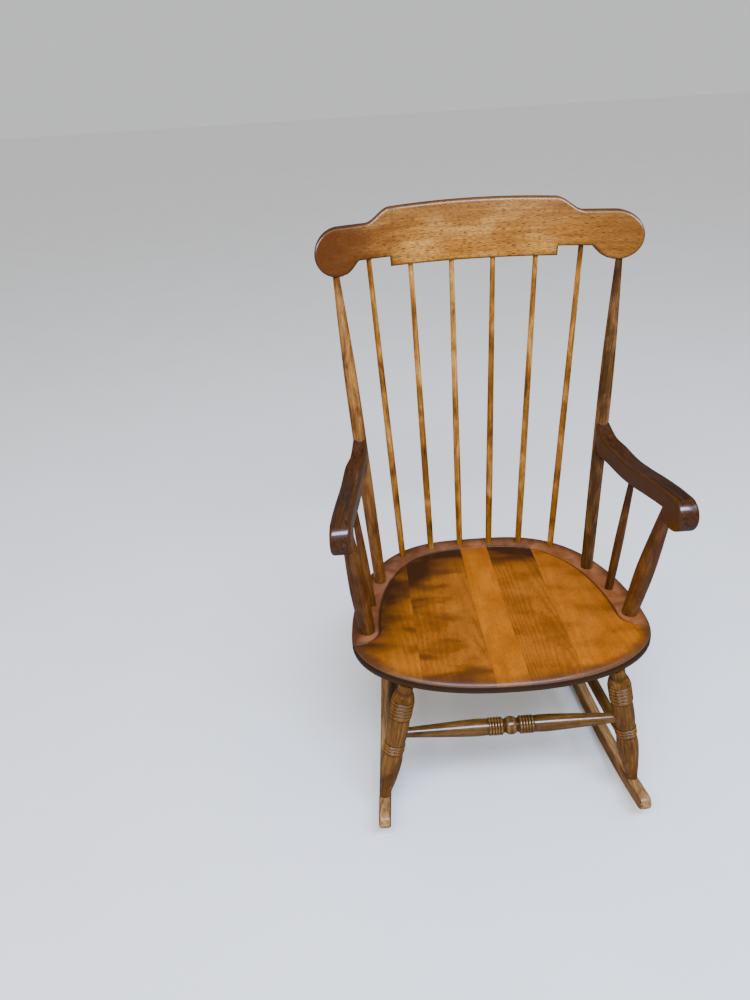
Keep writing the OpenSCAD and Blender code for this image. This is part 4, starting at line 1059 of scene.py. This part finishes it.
print("seat boards finished")

# %% [markdown]
# ## Steel and plugs
# The screws and brads are zinc-plated steel: metallic, bright grey and fairly rough. The wooden plugs
# over the screws show end grain, dark because it drinks lacquer. These keep their frame shapes, so
# their patterns are placed by position instead of by `grain`.

# %% Fastenings
def zinc_steel():
    material = bpy.data.materials.new("steel_zinc_plated")
    material.use_nodes = True
    tree = material.node_tree
    tree.nodes.clear()
    spot = add(tree, "ShaderNodeTexCoord", out=3)
    speckle = add(tree, "ShaderNodeTexNoise", {0: spot, "Scale": 1 / (1.5 * MM), "Detail": 3.0})
    greys = [(0.3, "#6f6f6c"), (0.6, "#a5a5a0"), (0.75, "#8d8478")]
    colour = add(tree, "ShaderNodeValToRGB", {0: speckle}, stops=greys)
    rough = add(tree, "ShaderNodeMapRange", {0: speckle, 1: 0.3, 2: 0.7, 3: 0.3, 4: 0.5})
    bump = add(tree, "ShaderNodeBump", {"Strength": 0.1, "Distance": 0.0001, "Height": speckle})
    metal = {"Base Color": colour, "Roughness": rough, "Normal": bump, "Metallic": 1.0}
    shader = add(tree, "ShaderNodeBsdfPrincipled", metal)
    tree.links.new(shader, tree.nodes.new("ShaderNodeOutputMaterial").inputs[0])
    return material


def plug_wood():
    material = bpy.data.materials.new("maple_end_grain_plug")
    material.use_nodes = True
    tree = material.node_tree
    tree.nodes.clear()
    spot = add(tree, "ShaderNodeTexCoord", out=3)
    pores = add(tree, "ShaderNodeTexVoronoi", {0: spot, "Scale": 1 / (0.9 * MM)})
    browns = [(0.1, "#3b2413"), (0.5, "#6d4826"), (0.9, "#85603a")]
    colour = add(tree, "ShaderNodeValToRGB", {0: pores}, stops=browns)
    rough = add(tree, "ShaderNodeMapRange", {0: pores, 1: 0.0, 2: 1.0, 3: 0.55, 4: 0.4})
    bump = add(tree, "ShaderNodeBump", {"Strength": 0.2, "Distance": 0.0001, "Height": pores})
    wood = {"Base Color": colour, "Roughness": rough, "Normal": bump, "IOR": 1.5}
    shader = add(tree, "ShaderNodeBsdfPrincipled", wood)
    tree.links.new(shader, tree.nodes.new("ShaderNodeOutputMaterial").inputs[0])
    return material


steel, plug = zinc_steel(), plug_wood()
kept_finish = {"arm_screws": steel, "rocker_pins": steel, "crest_pins": steel, "arm_plugs": plug}
for node, finish in kept_finish.items():
    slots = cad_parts[node].data.materials
    slots.clear()
    slots.append(finish)
print("kept from the frame:", ", ".join(kept_finish))

# %% [markdown]
# ## Floor
# The floor is plain, matt and pale. Lacquer that mirrors a pale room looks milky, so reflections alone
# meet a dim floor, as if black cloth lay just out of view.

# %% Floor
floor_mesh = bpy.data.meshes.new("studio_floor")
floor_mesh.from_pydata([(-30, -30, 0), (30, -30, 0), (30, 30, 0), (-30, 30, 0)], [], [(0, 1, 2, 3)])
floor = bpy.data.objects.new("studio_floor", floor_mesh)
bpy.context.collection.objects.link(floor)
paper = bpy.data.materials.new("matt_white_floor")
paper.use_nodes = True
tree = paper.node_tree
tree.nodes.clear()
spot = add(tree, "ShaderNodeTexCoord", out=3)
mottle = add(tree, "ShaderNodeTexNoise", {0: spot, "Scale": 3.0, "Detail": 4.0})
pale = add(tree, "ShaderNodeValToRGB", {0: mottle}, stops=[(0.3, "#f4f3f1"), (0.7, "#f8f7f5")])
mirrored_ray = add(tree, "ShaderNodeLightPath", out=3)
bright = add(tree, "ShaderNodeBsdfDiffuse", {"Color": pale})
cloth = add(tree, "ShaderNodeBsdfDiffuse", {"Color": linear("#5c5a58")})
surface = add(tree, "ShaderNodeMixShader", {0: mirrored_ray, 1: bright, 2: cloth})
tree.links.new(surface, tree.nodes.new("ShaderNodeOutputMaterial").inputs[0])
floor_mesh.materials.append(paper)
print("floor is", floor.dimensions.x, "m wide")

# %% [markdown]
# ## Lights
# Three softboxes: a cool window light above and in front, a warm key to the left and a weak fill to the
# right. A wide lamp gives soft shadows, and its picture in the lacquer is the highlight on every round edge.

# %% Lights
def softbox(name, place, aim, size, watts, tint):
    lamp = bpy.data.lights.new(name, "AREA")
    lamp.shape = "RECTANGLE"
    lamp.size, lamp.size_y = size
    lamp.energy, lamp.color = watts, linear(tint)[:3]
    holder = bpy.data.objects.new(name, lamp)
    holder.location = place
    holder.rotation_euler = (Vector(aim) - Vector(place)).to_track_quat("-Z", "Y").to_euler()
    bpy.context.collection.objects.link(holder)
    return holder


softbox("window_softbox", (0.25, -1.9, 3.0), (0, -0.2, 0.4), (2.5, 0.9), 200, "#c8dcff")
softbox("key_softbox", (-1.6, -2.2, 3.1), (0, 0, 0.5), (1.2, 1.2), 46, "#fff1de")
softbox("fill_softbox", (2.6, -1.2, 3.2), (0, 0, 0.4), (1.4, 1.4), 16, "#fffaf4")

# %% [markdown]
# ## World
# An even pale world fills the shadows. It too looks dim to reflections, so the lacquer keeps its depth.

# %% World
world = bpy.data.worlds.new("soft_room")
bpy.context.scene.world = world
world.use_nodes = True
tree = world.node_tree
tree.nodes.clear()
mirrored_ray = add(tree, "ShaderNodeLightPath", out=3)
pale_room = add(tree, "ShaderNodeBackground", {"Color": linear("#f7f8fa"), "Strength": 0.74})
black_cloth = add(tree, "ShaderNodeBackground", {"Color": linear("#c8ccd4"), "Strength": 0.12})
sky = add(tree, "ShaderNodeMixShader", {0: mirrored_ray, 1: pale_room, 2: black_cloth})
tree.links.new(sky, tree.nodes.new("ShaderNodeOutputWorld").inputs[0])

print("world seen directly:", pale_room.node.inputs["Strength"].default_value)

# %% [markdown]
# ## Camera
# The camera looks down from standing height with a wide lens, and is tipped a few degrees as a
# hand-held one is.

# %% Camera
PITCH, YAW, ROLL = radians(29.37), radians(0.68), radians(-3.6)
looking = Vector((sin(YAW) * cos(PITCH), cos(YAW) * cos(PITCH), -sin(PITCH)))
right = Vector((cos(YAW), -sin(YAW), 0))
up = right.cross(looking)
turned_right = right * cos(ROLL) + up * sin(ROLL)
turned_up = up * cos(ROLL) - right * sin(ROLL)
camera_data = bpy.data.cameras.new("camera")
camera_data.lens, camera_data.sensor_fit = 27, "AUTO"
camera_data.sensor_width, camera_data.sensor_height = 36, 36
camera = bpy.data.objects.new("camera", camera_data)
aim = Matrix((turned_right, turned_up, -looking)).transposed().to_4x4()
camera.matrix_world = Matrix.Translation((-0.2317, -1.2798, 1.2401)) @ aim
bpy.context.collection.objects.link(camera)
bpy.context.scene.camera = camera
print("camera looks down by", round(degrees(PITCH), 1), "degrees")
